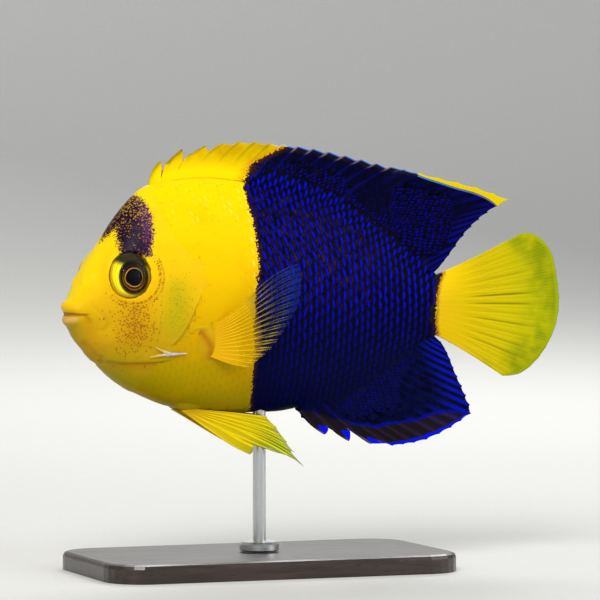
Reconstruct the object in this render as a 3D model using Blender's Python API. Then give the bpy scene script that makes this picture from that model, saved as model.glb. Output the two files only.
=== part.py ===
"""A bicolor angelfish, life size, as a still model on a plain stand.

The fish is laid out straight, in millimetres: s runs back from the tip of the snout, y to the
fish's right and z up from the body's axis. Every node is cut and joined there, and then bent
sideways along the gentle curve of a turning fish and set at its height on the stand.
"""

import math

import bmesh
import bpy
from mathutils import Matrix, Vector

# Overall sizes
MM = 0.001
GAP = 0.3
TOTAL_LENGTH = 122.5
BODY_LENGTH = 92.5
BEND_EACH_END = math.radians(8)
AXIS_HEIGHT = 62.0
ROD_STATION = 49.0
LEFT = -1
RIGHT = 1

# Head
MOUTH_CORNER = (5.7, 3.9, -2.0)
EYE_PLACE = (13.9, 7.7, 7.4)
EYE_RADIUS = 5.4
EYE_DEPTH = 3.8
EYE_FORWARD = math.radians(6)
EYE_UP = math.radians(5)
ORBIT_RADIUS = 7.3
ORBIT_DEPTH = 3.4
ORBIT_SINK = 1.7
COVER_LOW = -8.4
COVER_HIGH = 12.5
COVER_THICKNESS = 1.1
COVER_LIFT = 0.6

# Fins
DORSAL_SPINES = 15
DORSAL_SOFT_RAYS = 16
ANAL_SPINES = 3
ANAL_SOFT_RAYS = 17
TAIL_RAYS = 17
PECTORAL_RAYS = 16
FIN_SEAT_DEPTH = 0.9
MEMBRANE = 0.27
RAY_STEPS = 5

# Stand
BASE_SIZE = (84.0, 46.0, 6.0)
BASE_CORNER = 9.0
BASE_EDGE = 1.0
ROD_RADIUS = 1.5
ROD_SUNK = 3.0
COLLAR_RADIUS = 4.5
COLLAR_HEIGHT = 2.0


def clear_scene():
    for obj in list(bpy.data.objects):
        bpy.data.objects.remove(obj)


# Curves


def curve_through(points):
    """A smooth function through the points (x, value), with no overshoot between them."""
    xs = [p[0] for p in points]
    ys = [p[1] for p in points]
    slopes = [(ys[i + 1] - ys[i]) / (xs[i + 1] - xs[i]) for i in range(len(xs) - 1)]
    tangents = [slopes[0]]
    for before, after in zip(slopes, slopes[1:]):
        same_way = before * after > 0
        tangents.append(2 * before * after / (before + after) if same_way else 0.0)
    tangents.append(slopes[-1])

    def value(x):
        x = min(max(x, xs[0]), xs[-1])
        i = max(k for k in range(len(xs) - 1) if xs[k] <= x)
        width = xs[i + 1] - xs[i]
        t = (x - xs[i]) / width
        rise = ys[i + 1] - ys[i]
        start, end = tangents[i] * width, tangents[i + 1] * width
        bend = 3 * rise - 2 * start - end
        twist = start + end - 2 * rise
        return ys[i] + t * (start + t * (bend + t * twist))

    return value


def along(path, share):
    """The point at that share of a path of (s, z) corners, read from a smooth curve through them."""
    steps = len(path) - 1
    place = share * steps
    s = curve_through([(i, p[0]) for i, p in enumerate(path)])
    z = curve_through([(i, p[1]) for i, p in enumerate(path)])
    return s(place), z(place)


# The body's own lines, from the snout to the root of the tail fin

SNOUT = 2.5
STEM_END = BODY_LENGTH
back_line = curve_through(
    [
        (SNOUT, 2.6),
        (3.6, 4.9),
        (4.2, 6.3),
        (5.4, 8.6),
        (9.0, 13.6),
        (12.0, 18.0),
        (15.2, 22.3),
        (20.0, 26.8),
        (25.7, 29.2),
        (34.3, 30.0),
        (46.6, 28.8),
        (57.0, 26.4),
        (68.7, 21.6),
        (78.7, 15.2),
        (86.5, 8.9),
        (STEM_END, 7.2),
    ]
)
belly_line = curve_through(
    [
        (SNOUT, -5.0),
        (3.6, -7.0),
        (6.2, -9.9),
        (9.3, -12.9),
        (13.3, -16.4),
        (18.0, -19.2),
        (28.4, -23.0),
        (40.0, -24.4),
        (52.0, -24.4),
        (60.0, -23.2),
        (71.2, -18.4),
        (82.7, -10.9),
        (87.6, -8.6),
        (STEM_END, -7.7),
    ]
)
half_width = curve_through(
    [
        (SNOUT, 3.3),
        (3.4, 4.2),
        (5.0, 5.3),
        (8.0, 7.3),
        (12.0, 9.3),
        (17.0, 10.3),
        (25.0, 10.9),
        (33.0, 11.0),
        (45.0, 10.3),
        (55.0, 8.9),
        (65.0, 7.1),
        (75.0, 5.2),
        (85.0, 3.5),
        (STEM_END, 2.0),
    ]
)
widest_height = curve_through([(SNOUT, -0.2), (12.0, 2.6), (30.0, 1.5), (60.0, 0.5), (STEM_END, -0.3)])
back_sharpness = curve_through([(SNOUT, 1.0), (20.0, 1.25), (60.0, 1.35), (STEM_END, 1.0)])
belly_sharpness = curve_through([(SNOUT, 1.0), (30.0, 1.05), (60.0, 1.3), (STEM_END, 1.0)])


def flank(s, z):
    """The body's half-width at station s and height z."""
    middle = widest_height(s)
    edge = back_line(s) if z > middle else belly_line(s)
    sharpness = back_sharpness(s) if z > middle else belly_sharpness(s)
    height = min(1.0, (z - middle) / (edge - middle))
    return half_width(s) * max(0.0, 1 - height * height) ** (sharpness / 2)


def section(s, count):
    """A ring of count points round the body at station s, starting at the back and going left."""
    ring = []
    for i in range(count):
        angle = 2 * math.pi * i / count
        middle = widest_height(s)
        edge = back_line(s) if math.cos(angle) > 0 else belly_line(s)
        sharpness = back_sharpness(s) if math.cos(angle) > 0 else belly_sharpness(s)
        side = LEFT if math.sin(angle) > 0 else RIGHT
        z = middle + (edge - middle) * abs(math.cos(angle))
        y = side * half_width(s) * abs(math.sin(angle)) ** sharpness
        ring.append((s, y, z))
    return ring


# Meshes


def paint(name, colour, roughness, metallic=0.0):
    material = bpy.data.materials.new(name)
    material.use_nodes = True
    shader = material.node_tree.nodes["Principled BSDF"]
    shader.inputs["Base Color"].default_value = (*colour, 1.0)
    shader.inputs["Roughness"].default_value = roughness
    shader.inputs["Metallic"].default_value = metallic
    return material


def solid(name, points, faces):
    """A closed mesh object from points in millimetres, with its faces turned outwards."""
    mesh = bpy.data.meshes.new(name)
    mesh.from_pydata([Vector(p) * MM for p in points], [], faces)
    bm = bmesh.new()
    bm.from_mesh(mesh)
    bmesh.ops.recalc_face_normals(bm, faces=bm.faces)
    bm.to_mesh(mesh)
    bm.free()
    obj = bpy.data.objects.new(name, mesh)
    bpy.context.scene.collection.objects.link(obj)
    return obj


def skin_over(name, rings):
    """A closed solid over rings of equally many points, with a fan at each end."""
    count = len(rings[0])
    points = [p for ring in rings for p in ring]
    faces = []
    for r in range(len(rings) - 1):
        for i in range(count):
            j = (i + 1) % count
            a, b = r * count, (r + 1) * count
            faces.append((a + i, a + j, b + j, b + i))
    for ring in (rings[0], rings[-1]):
        first = 0 if ring is rings[0] else (len(rings) - 1) * count
        centre = len(points)
        points.append(tuple(sum(p[k] for p in ring) / count for k in range(3)))
        faces += [(first + i, first + (i + 1) % count, centre) for i in range(count)]
    return solid(name, points, faces)


def ball(name, centre, radii, turn=None, steps=(20, 12)):
    """An ellipsoid with its poles along y, turned about its centre."""
    around, across = steps
    turn = turn or Matrix.Identity(3)
    rings = []
    for r in range(1, across):
        polar = math.pi * r / across
        ring = []
        for i in range(around):
            angle = 2 * math.pi * i / around
            local = Vector(
                (
                    radii[0] * math.sin(polar) * math.cos(angle),
                    radii[1] * math.cos(polar),
                    radii[2] * math.sin(polar) * math.sin(angle),
                )
            )
            ring.append(tuple(Vector(centre) + turn @ local))
        rings.append(ring)
    obj = skin_over(name, rings)
    poles = [Vector(centre) + turn @ Vector((0, side * radii[1], 0)) for side in (1, -1)]
    for vertex, pole in zip(obj.data.vertices[-2:], poles):
        vertex.co = pole * MM
    return obj


def tube(name, path, radii, sides=10):
    """A tube along a path of points, with a radius for each."""
    rings = []
    for i, point in enumerate(path):
        before = Vector(path[max(i - 1, 0)])
        after = Vector(path[min(i + 1, len(path) - 1)])
        forward = (after - before).normalized()
        across = forward.cross(Vector((0, 0, 1)))
        if across.length < 0.2:
            across = forward.cross(Vector((0, 1, 0)))
        across.normalize()
        up = across.cross(forward)
        ring = []
        for k in range(sides):
            angle = 2 * math.pi * k / sides
            reach = across * math.cos(angle) + up * math.sin(angle)
            ring.append(tuple(Vector(point) + reach * radii[i]))
        rings.append(ring)
    return skin_over(name, rings)


def slab(name, outline, half):
    """A prism across the body, from y = -half to half, over a closed outline of (s, z) corners."""
    rings = [[(s, y, z) for s, z in outline] for y in (-half, half)]
    count = len(outline)
    points = rings[0] + rings[1]
    faces = [tuple(range(count)), tuple(range(2 * count - 1, count - 1, -1))]
    faces += [(i, (i + 1) % count, count + (i + 1) % count, count + i) for i in range(count)]
    return solid(name, points, faces)


def parting(name, path, half):
    """A cutter as thick as the gap, along a path of (s, z) corners right across the body."""
    near, far = [], []
    for i, (s, z) in enumerate(path):
        before, after = path[max(i - 1, 0)], path[min(i + 1, len(path) - 1)]
        run, rise = after[0] - before[0], after[1] - before[1]
        length = math.hypot(run, rise)
        offset = (-rise / length * GAP / 2, run / length * GAP / 2)
        near.append((s + offset[0], z + offset[1]))
        far.append((s - offset[0], z - offset[1]))
    return slab(name, near + far[::-1], half)


# Booleans


def combined(obj, others, operation):
    """Joins or cuts obj by a collection of closed meshes, applies it and removes them."""
    group = bpy.data.collections.new("others")
    for other in others:
        group.objects.link(other)
    modifier = obj.modifiers.new("combine", "BOOLEAN")
    modifier.operation = operation
    modifier.operand_type = "COLLECTION"
    modifier.collection = group
    modifier.solver = "EXACT"
    graph = bpy.context.evaluated_depsgraph_get()
    mesh = bpy.data.meshes.new_from_object(obj.evaluated_get(graph))
    obj.modifiers.clear()
    obj.data = mesh
    for other in others:
        bpy.data.objects.remove(other)
    bpy.data.collections.remove(group)
    return obj


def islands(obj):
    """The object's separate closed surfaces as lists of vertices, largest first."""
    bm = bmesh.new()
    bm.from_mesh(obj.data)
    left = set(bm.verts)
    found = []
    while left:
        stack = [left.pop()]
        island = set(stack)
        while stack:
            for edge in stack.pop().link_edges:
                for vertex in edge.verts:
                    if vertex in left:
                        left.remove(vertex)
                        island.add(vertex)
                        stack.append(vertex)
        found.append({v.index for v in island})
    bm.free()
    return sorted(found, key=len, reverse=True)


def with_island(obj, name, island):
    """A new object that holds only that island of obj."""
    bm = bmesh.new()
    bm.from_mesh(obj.data)
    spare = [v for v in bm.verts if v.index not in island]
    bmesh.ops.delete(bm, geom=spare, context="VERTS")
    mesh = bpy.data.meshes.new(name)
    bm.to_mesh(mesh)
    bm.free()
    made = bpy.data.objects.new(name, mesh)
    bpy.context.scene.collection.objects.link(made)
    return made


def keep_largest(obj):
    island = islands(obj)[0]
    made = with_island(obj, "kept", island)
    obj.data = made.data
    bpy.data.objects.remove(made)
    return obj


# Fins: a sheet of rays and membrane


def sheet(name, columns):
    """A closed vane from columns of (point, normal, half thickness), split alike on both faces."""
    rows = len(columns[0])
    points = []
    for side in (1, -1):
        for column in columns:
            points += [tuple(p + side * half * n) for p, n, half in column]
    other = len(columns) * rows
    faces = []
    for c in range(len(columns) - 1):
        for r in range(rows - 1):
            a, b = c * rows + r, (c + 1) * rows + r
            faces += [(a, b, a + 1), (b, b + 1, a + 1)]
            faces += [(a + other, a + 1 + other, b + other), (b + other, a + 1 + other, b + 1 + other)]
    last = (len(columns) - 1) * rows
    rim = [c * rows for c in range(len(columns))]
    rim += [last + r for r in range(1, rows)]
    rim += [c * rows + rows - 1 for c in range(len(columns) - 2, -1, -1)]
    rim += list(range(rows - 2, 0, -1))
    for a, b in zip(rim, rim[1:] + rim[:1]):
        faces += [(a, b, b + other), (a, b + other, a + other)]
    return solid(name, points, faces)


def middle_fin(name, roots, tips, spines, notches, seat_half, seat_rise, ripple):
    """A fin in the fish's middle plane.

    roots and tips are (s, z) for each ray. Between two rays the membrane stops short of their tips
    by its share in notches. seat_half gives the half thickness at the root, which meets the body.
    """
    columns = []
    count = len(roots)
    for c in range(2 * count - 1):
        ray = c // 2
        is_ray = c % 2 == 0
        if is_ray:
            root, tip = Vector(roots[ray]), Vector(tips[ray])
            thick = 0.62 if ray < spines else 0.5
        else:
            root = (Vector(roots[ray]) + Vector(roots[ray + 1])) / 2
            tip = (Vector(tips[ray]) + Vector(tips[ray + 1])) / 2
            tip = tip + (root - tip) * notches[ray]
            thick = MEMBRANE
        seat = seat_half(root.x)
        column = []
        for r in range(RAY_STEPS + 2):
            if r == 0:
                place, half = root, seat
            else:
                share = ((r - 1) / RAY_STEPS) ** 0.9
                lift = Vector((0, seat_rise))
                place = root.lerp(tip, share) + lift * (1 - share)
                flesh = (1 - share) ** 4
                half = max(thick * (1 - 0.5 * share), MEMBRANE * 0.9) * (1 - flesh)
                half += (0.6 * seat + 0.2) * flesh
            reach = (place - root).length / 10
            y = ripple * math.sin(place.x * 0.23) * min(1.5, reach) ** 2
            column.append((Vector((place.x, y, place.y)), Vector((0, 1, 0)), half))
        columns.append(column)
    return sheet(name, columns)


# Dorsal fin: fifteen spines, then sixteen soft rays that rise to a point behind

DORSAL_START = 21.4
DORSAL_END = 90.2
spine_tip_line = curve_through([(24.7, 32.7), (30.2, 35.4), (37.0, 36.6), (45.0, 37.4), (58.8, 36.1), (81.1, 31.2)])
SOFT_DORSAL_TOP = [(84.6, 30.4), (92.9, 28.6), (102.0, 26.4), (109.6, 24.0)]
SOFT_DORSAL_REAR = [(109.6, 24.0), (104.2, 20.6), (99.8, 16.8), (96.0, 11.8), (92.6, 8.9)]
SOFT_DORSAL_RAYS_ON_TOP = 7


def dorsal_rays():
    roots, tips = [], []
    for i in range(DORSAL_SPINES):
        root_s = 21.8 + 3.95 * i - 0.056 * i * i
        tip_s = 24.7 if i == 0 else 30.2 + 5.9 * min(i - 1, 1) + 3.75 * max(i - 2, 0)
        roots.append(root_s)
        tips.append((tip_s, spine_tip_line(tip_s)))
    first_soft = roots[-1] + 2.2
    for i in range(DORSAL_SOFT_RAYS):
        share = i / (DORSAL_SOFT_RAYS - 1)
        roots.append(first_soft + (DORSAL_END - 0.8 - first_soft) * share)
        if i < SOFT_DORSAL_RAYS_ON_TOP:
            tips.append(along(SOFT_DORSAL_TOP, i / (SOFT_DORSAL_RAYS_ON_TOP - 1)))
        else:
            rest = DORSAL_SOFT_RAYS - SOFT_DORSAL_RAYS_ON_TOP
            tips.append(along(SOFT_DORSAL_REAR, (i - SOFT_DORSAL_RAYS_ON_TOP + 1) / rest))
    return [(s, back_line(s) - FIN_SEAT_DEPTH + GAP) for s in roots], tips


def dorsal_fin():
    roots, tips = dorsal_rays()
    notches = [0.6, 0.5, 0.3] + [0.1] * (DORSAL_SPINES - 4) + [0.012] * DORSAL_SOFT_RAYS
    seat = lambda s: flank(s, back_line(s) - FIN_SEAT_DEPTH + GAP)
    return middle_fin("dorsal_fin", roots, tips, DORSAL_SPINES, notches, seat, 0.9, 0.35)


# Anal fin: three spines and seventeen soft rays

ANAL_START = 57.3
ANAL_END = 90.4
ANAL_SPINE_TIPS = [(64.5, -30.0), (70.8, -31.7), (76.6, -32.5)]
SOFT_ANAL_LOW = [(80.8, -33.0), (87.2, -31.9), (95.0, -29.2), (101.6, -25.2)]
SOFT_ANAL_REAR = [(101.6, -25.2), (99.4, -20.9), (96.6, -15.9), (94.4, -11.6), (92.6, -9.3)]
SOFT_ANAL_RAYS_BELOW = 8


def anal_rays():
    roots = [57.9, 60.6, 63.2]
    tips = list(ANAL_SPINE_TIPS)
    for i in range(ANAL_SOFT_RAYS):
        share = i / (ANAL_SOFT_RAYS - 1)
        roots.append(64.9 + (ANAL_END - 0.8 - 64.9) * share)
        if i < SOFT_ANAL_RAYS_BELOW:
            tips.append(along(SOFT_ANAL_LOW, i / (SOFT_ANAL_RAYS_BELOW - 1)))
        else:
            rest = ANAL_SOFT_RAYS - SOFT_ANAL_RAYS_BELOW
            tips.append(along(SOFT_ANAL_REAR, (i - SOFT_ANAL_RAYS_BELOW + 1) / rest))
    return [(s, belly_line(s) + FIN_SEAT_DEPTH - GAP) for s in roots], tips


def anal_fin():
    roots, tips = anal_rays()
    notches = [0.34, 0.28, 0.08] + [0.012] * ANAL_SOFT_RAYS
    seat = lambda s: flank(s, belly_line(s) + FIN_SEAT_DEPTH - GAP)
    return middle_fin("anal_fin", roots, tips, ANAL_SPINES, notches, seat, -0.9, -0.35)


# Tail fin: a fan of rays from the end of the tail stem

TAIL_PIVOT = (88.0, -0.3)
TAIL_TOP_ANGLE = math.radians(34.0)
TAIL_LOW_ANGLE = math.radians(-39.5)
TAIL_EDGE_SWELL = 0.6
tail_reach = curve_through([(-1.0, 27.0), (-0.88, 29.2), (-0.55, 31.8), (0.3, 34.4), (0.7, 34.0), (0.88, 32.6), (1.0, 30.2)])


def tail_fin():
    columns = []
    middle = (TAIL_TOP_ANGLE + TAIL_LOW_ANGLE) / 2
    spread = (TAIL_TOP_ANGLE - TAIL_LOW_ANGLE) / 2
    for c in range(2 * TAIL_RAYS - 1):
        share = c / (TAIL_RAYS - 1) - 1
        is_ray = c % 2 == 0
        root = Vector((STEM_END + GAP, -0.25 + 7.1 * share))
        angle = middle + spread * share
        reach = tail_reach(share) - (0.0 if is_ray else 0.3)
        tip = Vector((TAIL_PIVOT[0] + reach * math.cos(angle), TAIL_PIVOT[1] + reach * math.sin(angle)))
        seat = flank(STEM_END, root.y)
        thick = 0.5 if is_ray else MEMBRANE
        column = []
        for r in range(RAY_STEPS + 2):
            t = (r / (RAY_STEPS + 1)) ** 1.15
            place = root.lerp(tip, t) + Vector((0, TAIL_EDGE_SWELL * share * math.sin(math.pi * t)))
            half = max(thick * (1 - 0.45 * t), MEMBRANE * 0.9) + max(0.0, seat - thick) * (1 - t) ** 4
            y = 0.7 * math.sin(place.y * 0.28 + 0.6) * t * t
            column.append((Vector((place.x, y, place.y)), Vector((0, 1, 0)), half))
        columns.append(column)
    return sheet("tail_fin", columns)


# Paired fins: a fleshy root sunk in the body, and a fan of rays


def paired_fan(name, side, rays, notches, thickness):
    """A fan over rays, each a function from 0 at its root to 1 at its tip, on the fish's left.

    Between two rays the membrane stops short of their tips by its share in notches.
    """
    columns = []
    across = Vector((0, 1, 0))
    for c in range(2 * len(rays) - 1):
        before, after = rays[c // 2], rays[(c + 1) // 2]
        is_ray = before is after
        reach = 1.0 if is_ray else 1.0 - notches[c // 2]
        thick = thickness if is_ray else MEMBRANE
        column = []
        for r in range(RAY_STEPS + 1):
            t = r / RAY_STEPS * reach
            place = (before(t) + after(t)) / 2
            half = max(thick * (1 - 0.55 * t), MEMBRANE * 0.9)
            column.append((Vector((place.x, place.y * -side, place.z)), across, half))
        columns.append(column)
    return sheet(name, columns)


PECTORAL_ROOT = ((31.4, -9.9, -4.0), (33.2, -9.4, -11.2))
PECTORAL_PAD = (2.0, 1.4, 4.4)
PECTORAL_ARCH = 1.6
PECTORAL_CUP = 1.0
PECTORAL_TIPS = [
    (52.0, -16.2, 10.0),
    (52.8, -16.6, 6.5),
    (52.2, -16.4, 1.5),
    (49.8, -15.6, -3.6),
    (46.0, -14.4, -9.0),
    (41.0, -12.8, -13.4),
]


def leaning(first, last):
    """The turn that lays an ellipsoid's z axis along the line from last to first."""
    up = (Vector(first) - Vector(last)).normalized()
    across = Vector((0, 1, 0))
    forward = across.cross(up).normalized()
    across = up.cross(forward)
    return Matrix((forward, across, up)).transposed()


def mirrored(point, side):
    return (point[0], -side * point[1], point[2])


def pectoral_pad(name, side, grow):
    first, last = (mirrored(p, side) for p in PECTORAL_ROOT)
    centre = (Vector(first) + Vector(last)) / 2
    radii = [r + grow for r in PECTORAL_PAD]
    return ball(name, centre, radii, leaning(first, last), (14, 8))


def pectoral_ray(share):
    """The ray at that share from the top one, bowed outwards, and up where it is near the top."""
    first, last = (Vector(p) for p in PECTORAL_ROOT)
    root = first.lerp(last, 0.12 + 0.76 * share) + Vector((0.5, -0.95, 0))
    tip = Vector([curve_through([(i / 5, p[k]) for i, p in enumerate(PECTORAL_TIPS)])(share) for k in range(3)])
    bow = Vector((0, -PECTORAL_CUP, PECTORAL_ARCH * (1 - share)))
    return lambda t: root.lerp(tip, t) + bow * math.sin(math.pi * t)


def pectoral_fin(name, side):
    rays = [pectoral_ray(i / (PECTORAL_RAYS - 1)) for i in range(PECTORAL_RAYS)]
    fan = paired_fan(name, side, rays, [0.02] * PECTORAL_RAYS, 0.42)
    return keep_largest(combined(fan, [pectoral_pad("pad", side, 0.0)], "UNION"))


PELVIC_ROOT = ((29.2, -2.6, -23.4), (31.6, -2.9, -23.1))
PELVIC_PAD_CENTRE = (30.4, -2.8, -22.6)
PELVIC_PAD = (3.4, 1.0, 1.6)
PELVIC_NOTCHES = [0.24, 0.1, 0.08, 0.04, 0.03, 0.03]
PELVIC_FLARE = 0.5
RIGHT_PELVIC_FOLD = 0.9
# For each ray: its length, how far its first part slopes down, and how far its tip does, in degrees
PELVIC_RAYS = [
    (19.8, 34.5, 31.8),
    (25.9, 26.0, 23.3),
    (32.4, 19.5, 25.0),
    (28.7, 17.0, 21.5),
    (25.7, 14.0, 18.4),
    (21.8, 10.0, 12.2),
    (18.6, 6.0, 6.6),
]


def pelvic_pad(name, side, grow):
    radii = [r + grow for r in PELVIC_PAD]
    return ball(name, mirrored(PELVIC_PAD_CENTRE, side), radii, None, (12, 8))


def pelvic_ray(share, length, slope, tip_slope):
    first, last = (Vector(p) for p in PELVIC_ROOT)
    root = first.lerp(last, share)

    def place(t):
        angle = math.radians(slope + (tip_slope - slope) * t ** 4)
        return root + Vector((math.cos(angle) * length * t, -PELVIC_FLARE * t, -math.sin(angle) * length * t))

    return place


def pelvic_fin(name, side):
    """A spine and five soft rays, of which the first is branched.

    The right fin is folded up closer to the belly than the left one.
    """
    fold = RIGHT_PELVIC_FOLD if side == RIGHT else 1.0
    last = len(PELVIC_RAYS) - 1
    rays = [pelvic_ray(i / last, r[0], r[1] * fold, r[2] * fold) for i, r in enumerate(PELVIC_RAYS)]
    fan = paired_fan(name, side, rays, PELVIC_NOTCHES, 0.5)
    return keep_largest(combined(fan, [pelvic_pad("pad", side, 0.0)], "UNION"))


# Head details


def eye_turn(side):
    """Turns an eye's axis a little forward and up from straight out to the side."""
    return Matrix.Rotation(-side * EYE_FORWARD, 3, "Z") @ Matrix.Rotation(side * EYE_UP, 3, "X")


def eye(name, side, grow=0.0):
    centre = (EYE_PLACE[0], side * EYE_PLACE[1], EYE_PLACE[2])
    radii = (EYE_RADIUS + grow, EYE_DEPTH + grow, EYE_RADIUS + grow)
    return ball(name, centre, radii, eye_turn(side), (20, 10))


def orbit(name, side):
    """The low mound that the eye is set in."""
    centre = (EYE_PLACE[0], side * (EYE_PLACE[1] - ORBIT_SINK), EYE_PLACE[2])
    return ball(name, centre, (ORBIT_RADIUS, ORBIT_DEPTH, ORBIT_RADIUS), eye_turn(side), (18, 8))


def lip(name, front, radius, corner_radius):
    """A roll round the front of the jaw, from one corner of the mouth to the other."""
    path, radii = [], []
    steps = 10
    for i in range(steps + 1):
        angle = math.pi * (i / steps - 0.5)
        share = math.cos(angle)
        s = MOUTH_CORNER[0] + (front[0] - MOUTH_CORNER[0]) * share
        y = MOUTH_CORNER[1] * math.sin(angle)
        z = MOUTH_CORNER[2] + (front[1] - MOUTH_CORNER[2]) * share ** 0.7
        path.append((s, y, z))
        radii.append(corner_radius + (radius - corner_radius) * share ** 0.7)
    return tube(name, path, radii, 8)


NOSTRILS = ((6.2, 6.9, 0.5), (7.3, 7.8, 0.4))


def nostril(name, side, place, grow, length):
    """A short round spout, or the pit in it, standing on the head in front of the eye."""
    s, z, radius = place
    out = Vector((-0.5, side * 0.8, 0.3)).normalized()
    foot = Vector((s, side * flank(s, z), z))
    path = [tuple(foot - out * 0.7), tuple(foot + out * length)]
    return tube(name, path, [radius + grow] * 2, 6)


cover_front = curve_through([(COVER_LOW, 21.6), (-5.0, 20.7), (0.0, 20.8), (8.0, 21.8), (COVER_HIGH, 24.6)])
cover_rear = curve_through([(COVER_LOW, 23.0), (-6.1, 25.6), (-2.7, 27.4), (0.6, 29.1), (5.0, 30.3), (9.0, 29.6), (COVER_HIGH, 26.0)])


def gill_cover(name, side, grow=0.0, rear=0.0, thickness=COVER_THICKNESS, lift=COVER_LIFT):
    """A plate over the gills, from the cheek's edge to its own free edge."""
    rows, steps = 11, 5
    columns = []
    for i in range(steps):
        u = i / (steps - 1)
        column = []
        for j in range(rows):
            v = j / (rows - 1)
            z = COVER_LOW - grow + (COVER_HIGH - COVER_LOW + 2 * grow) * v
            s = cover_front(z) - grow + (cover_rear(z) + rear - cover_front(z) + grow) * u
            outer = flank(s, z) + 0.1 + lift * u * u
            inner = flank(s, z) - thickness
            centre = Vector((s, side * (outer + inner) / 2, z))
            column.append((centre, Vector((0, 1, 0)), (outer - inner) / 2))
        columns.append(column)
    return sheet(name, columns)


CHEEK_SPINE_ROOT = (16.6, -10.6)
CHEEK_SPINE_TIP = (26.7, -9.7)


def cheek_spine(name, side):
    """The long backward spine at the corner of the cheek, flat and pointed."""
    rings = []
    steps = 7
    for i in range(steps + 1):
        t = i / steps
        s = CHEEK_SPINE_ROOT[0] + (CHEEK_SPINE_TIP[0] - CHEEK_SPINE_ROOT[0]) * t
        z = CHEEK_SPINE_ROOT[1] + (CHEEK_SPINE_TIP[1] - CHEEK_SPINE_ROOT[1]) * t
        swell = min(1.0, (0.3 + t * 4)) * (1 - t)
        tall = 1.7 * swell ** 0.8 + 0.12
        thick = 0.6 * swell ** 0.6 + 0.12
        out = flank(s, z) + 1.0 - 1.5 * max(0.0, 0.3 - t) / 0.3
        ring = []
        for k in range(8):
            angle = 2 * math.pi * k / 8
            ring.append((s, side * (out + thick * math.cos(angle)), z + tall * math.sin(angle)))
        rings.append(ring)
    return skin_over(name, rings)


# Cutters that part the whole body into its nodes


def head_parting():
    """Behind the gill covers, up to the nape and forward under the throat."""
    throat = [(5.5, -15.5), (8.6, -12.3), (14.0, -12.1), (18.6, -12.2), (21.2, -11.0)]
    steps = 10
    heights = [COVER_LOW + (COVER_HIGH - COVER_LOW) * i / steps for i in range(steps + 1)]
    rear = [(cover_rear(z) + GAP / 2, z) for z in heights]
    nape = [(24.4, 16.5), (22.0, 22.0), (20.6, 31.0)]
    return parting("head_parting", throat + rear + nape, 16.0)


TAIL_PART = 85.5


def tail_parting():
    path = [(TAIL_PART, 14.0), (TAIL_PART + 1.0, 0.0), (TAIL_PART, -14.0)]
    return parting("tail_parting", path, 10.0)


def fin_seat(name, start, end, line, inward):
    """Takes the body's edge down to a narrow seat that the fin's root stands on."""
    steps = 24
    stations = [start + (end - start) * i / steps for i in range(steps + 1)]
    seat = [(s, line(s) + inward * FIN_SEAT_DEPTH) for s in stations]
    clear = [(s, line(s) - inward * 4.0) for s in stations[::-1]]
    return slab(name, seat + clear, 8.0)


def rod_socket():
    z = belly_line(ROD_STATION)
    return tube("rod_socket", [(ROD_STATION, 0, z - 4), (ROD_STATION, 0, z + ROD_SUNK + GAP)], [ROD_RADIUS + GAP] * 2, 16)


def body_parts():
    """The head, the trunk and the tail stem, cut from one lofted body."""
    stations = [SNOUT, 2.9, 3.5, 4.2, 5.4, 7.0, 8.8, 10.8, 13.0, 15.4, 18.0, 21.0, 24.5, 28.5]
    step = 3.8
    while stations[-1] + step < STEM_END - 2:
        stations.append(stations[-1] + step)
    stations += [(stations[-1] + STEM_END) / 2, STEM_END]
    whole = skin_over("whole", [section(s, 32) for s in stations])
    additions = [
        lip("upper_lip", (2.1, 0.35), 1.6, 0.55),
        lip("lower_lip", (2.0, -3.3), 1.3, 0.5),
    ]
    cutters = [
        ball("mouth_gap", (1.8, 0.0, -1.65), (4.0, 3.4, 0.5), None, (16, 8)),
        head_parting(),
        tail_parting(),
        fin_seat("dorsal_seat", DORSAL_START - GAP, DORSAL_END + GAP, back_line, -1),
        fin_seat("anal_seat", ANAL_START - GAP, ANAL_END + GAP, belly_line, 1),
        rod_socket(),
    ]
    for side in (LEFT, RIGHT):
        additions.append(orbit("orbit", side))
        cutters.append(eye("socket", side, GAP))
        cutters.append(gill_cover("pocket", side, GAP, GAP / 2, COVER_THICKNESS + GAP, 4.0))
        cutters.append(pectoral_pad("pectoral_socket", side, GAP))
        cutters.append(pelvic_pad("pelvic_socket", side, GAP))
        for place in NOSTRILS:
            additions.append(nostril("spout", side, place, 0.25, 0.45))
            cutters.append(nostril("pit", side, place, -0.1, 0.9))
    combined(whole, additions, "UNION")
    combined(whole, cutters, "DIFFERENCE")
    large = islands(whole)[:3]
    by_station = sorted(large, key=lambda island: min(whole.data.vertices[i].co.x for i in island))
    names = ("head", "trunk", "tail_stem")
    parts = [with_island(whole, name, island) for name, island in zip(names, by_station)]
    bpy.data.objects.remove(whole)
    spines = [cheek_spine("spine", side) for side in (LEFT, RIGHT)]
    keep_largest(combined(parts[0], spines, "UNION"))
    return parts


# The bend and the stand


def centre_line(s):
    """Where the bent middle line is at station s, and its heading."""
    turn = 2 * BEND_EACH_END / TOTAL_LENGTH
    heading = BEND_EACH_END - turn * s
    x = (math.sin(BEND_EACH_END) - math.sin(heading)) / turn
    y = (math.cos(heading) - math.cos(BEND_EACH_END)) / turn
    return x, y, heading


def swim(obj):
    """Moves a straight node onto the bent middle line, over the stand's rod."""
    rod_x, rod_y, _ = centre_line(ROD_STATION)
    for vertex in obj.data.vertices:
        s, y, z = vertex.co / MM
        x0, y0, heading = centre_line(s)
        x = x0 - y * math.sin(heading) - rod_x
        across = y0 + y * math.cos(heading) - rod_y
        vertex.co = Vector((x, across, z + AXIS_HEIGHT)) * MM
    return obj


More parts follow.
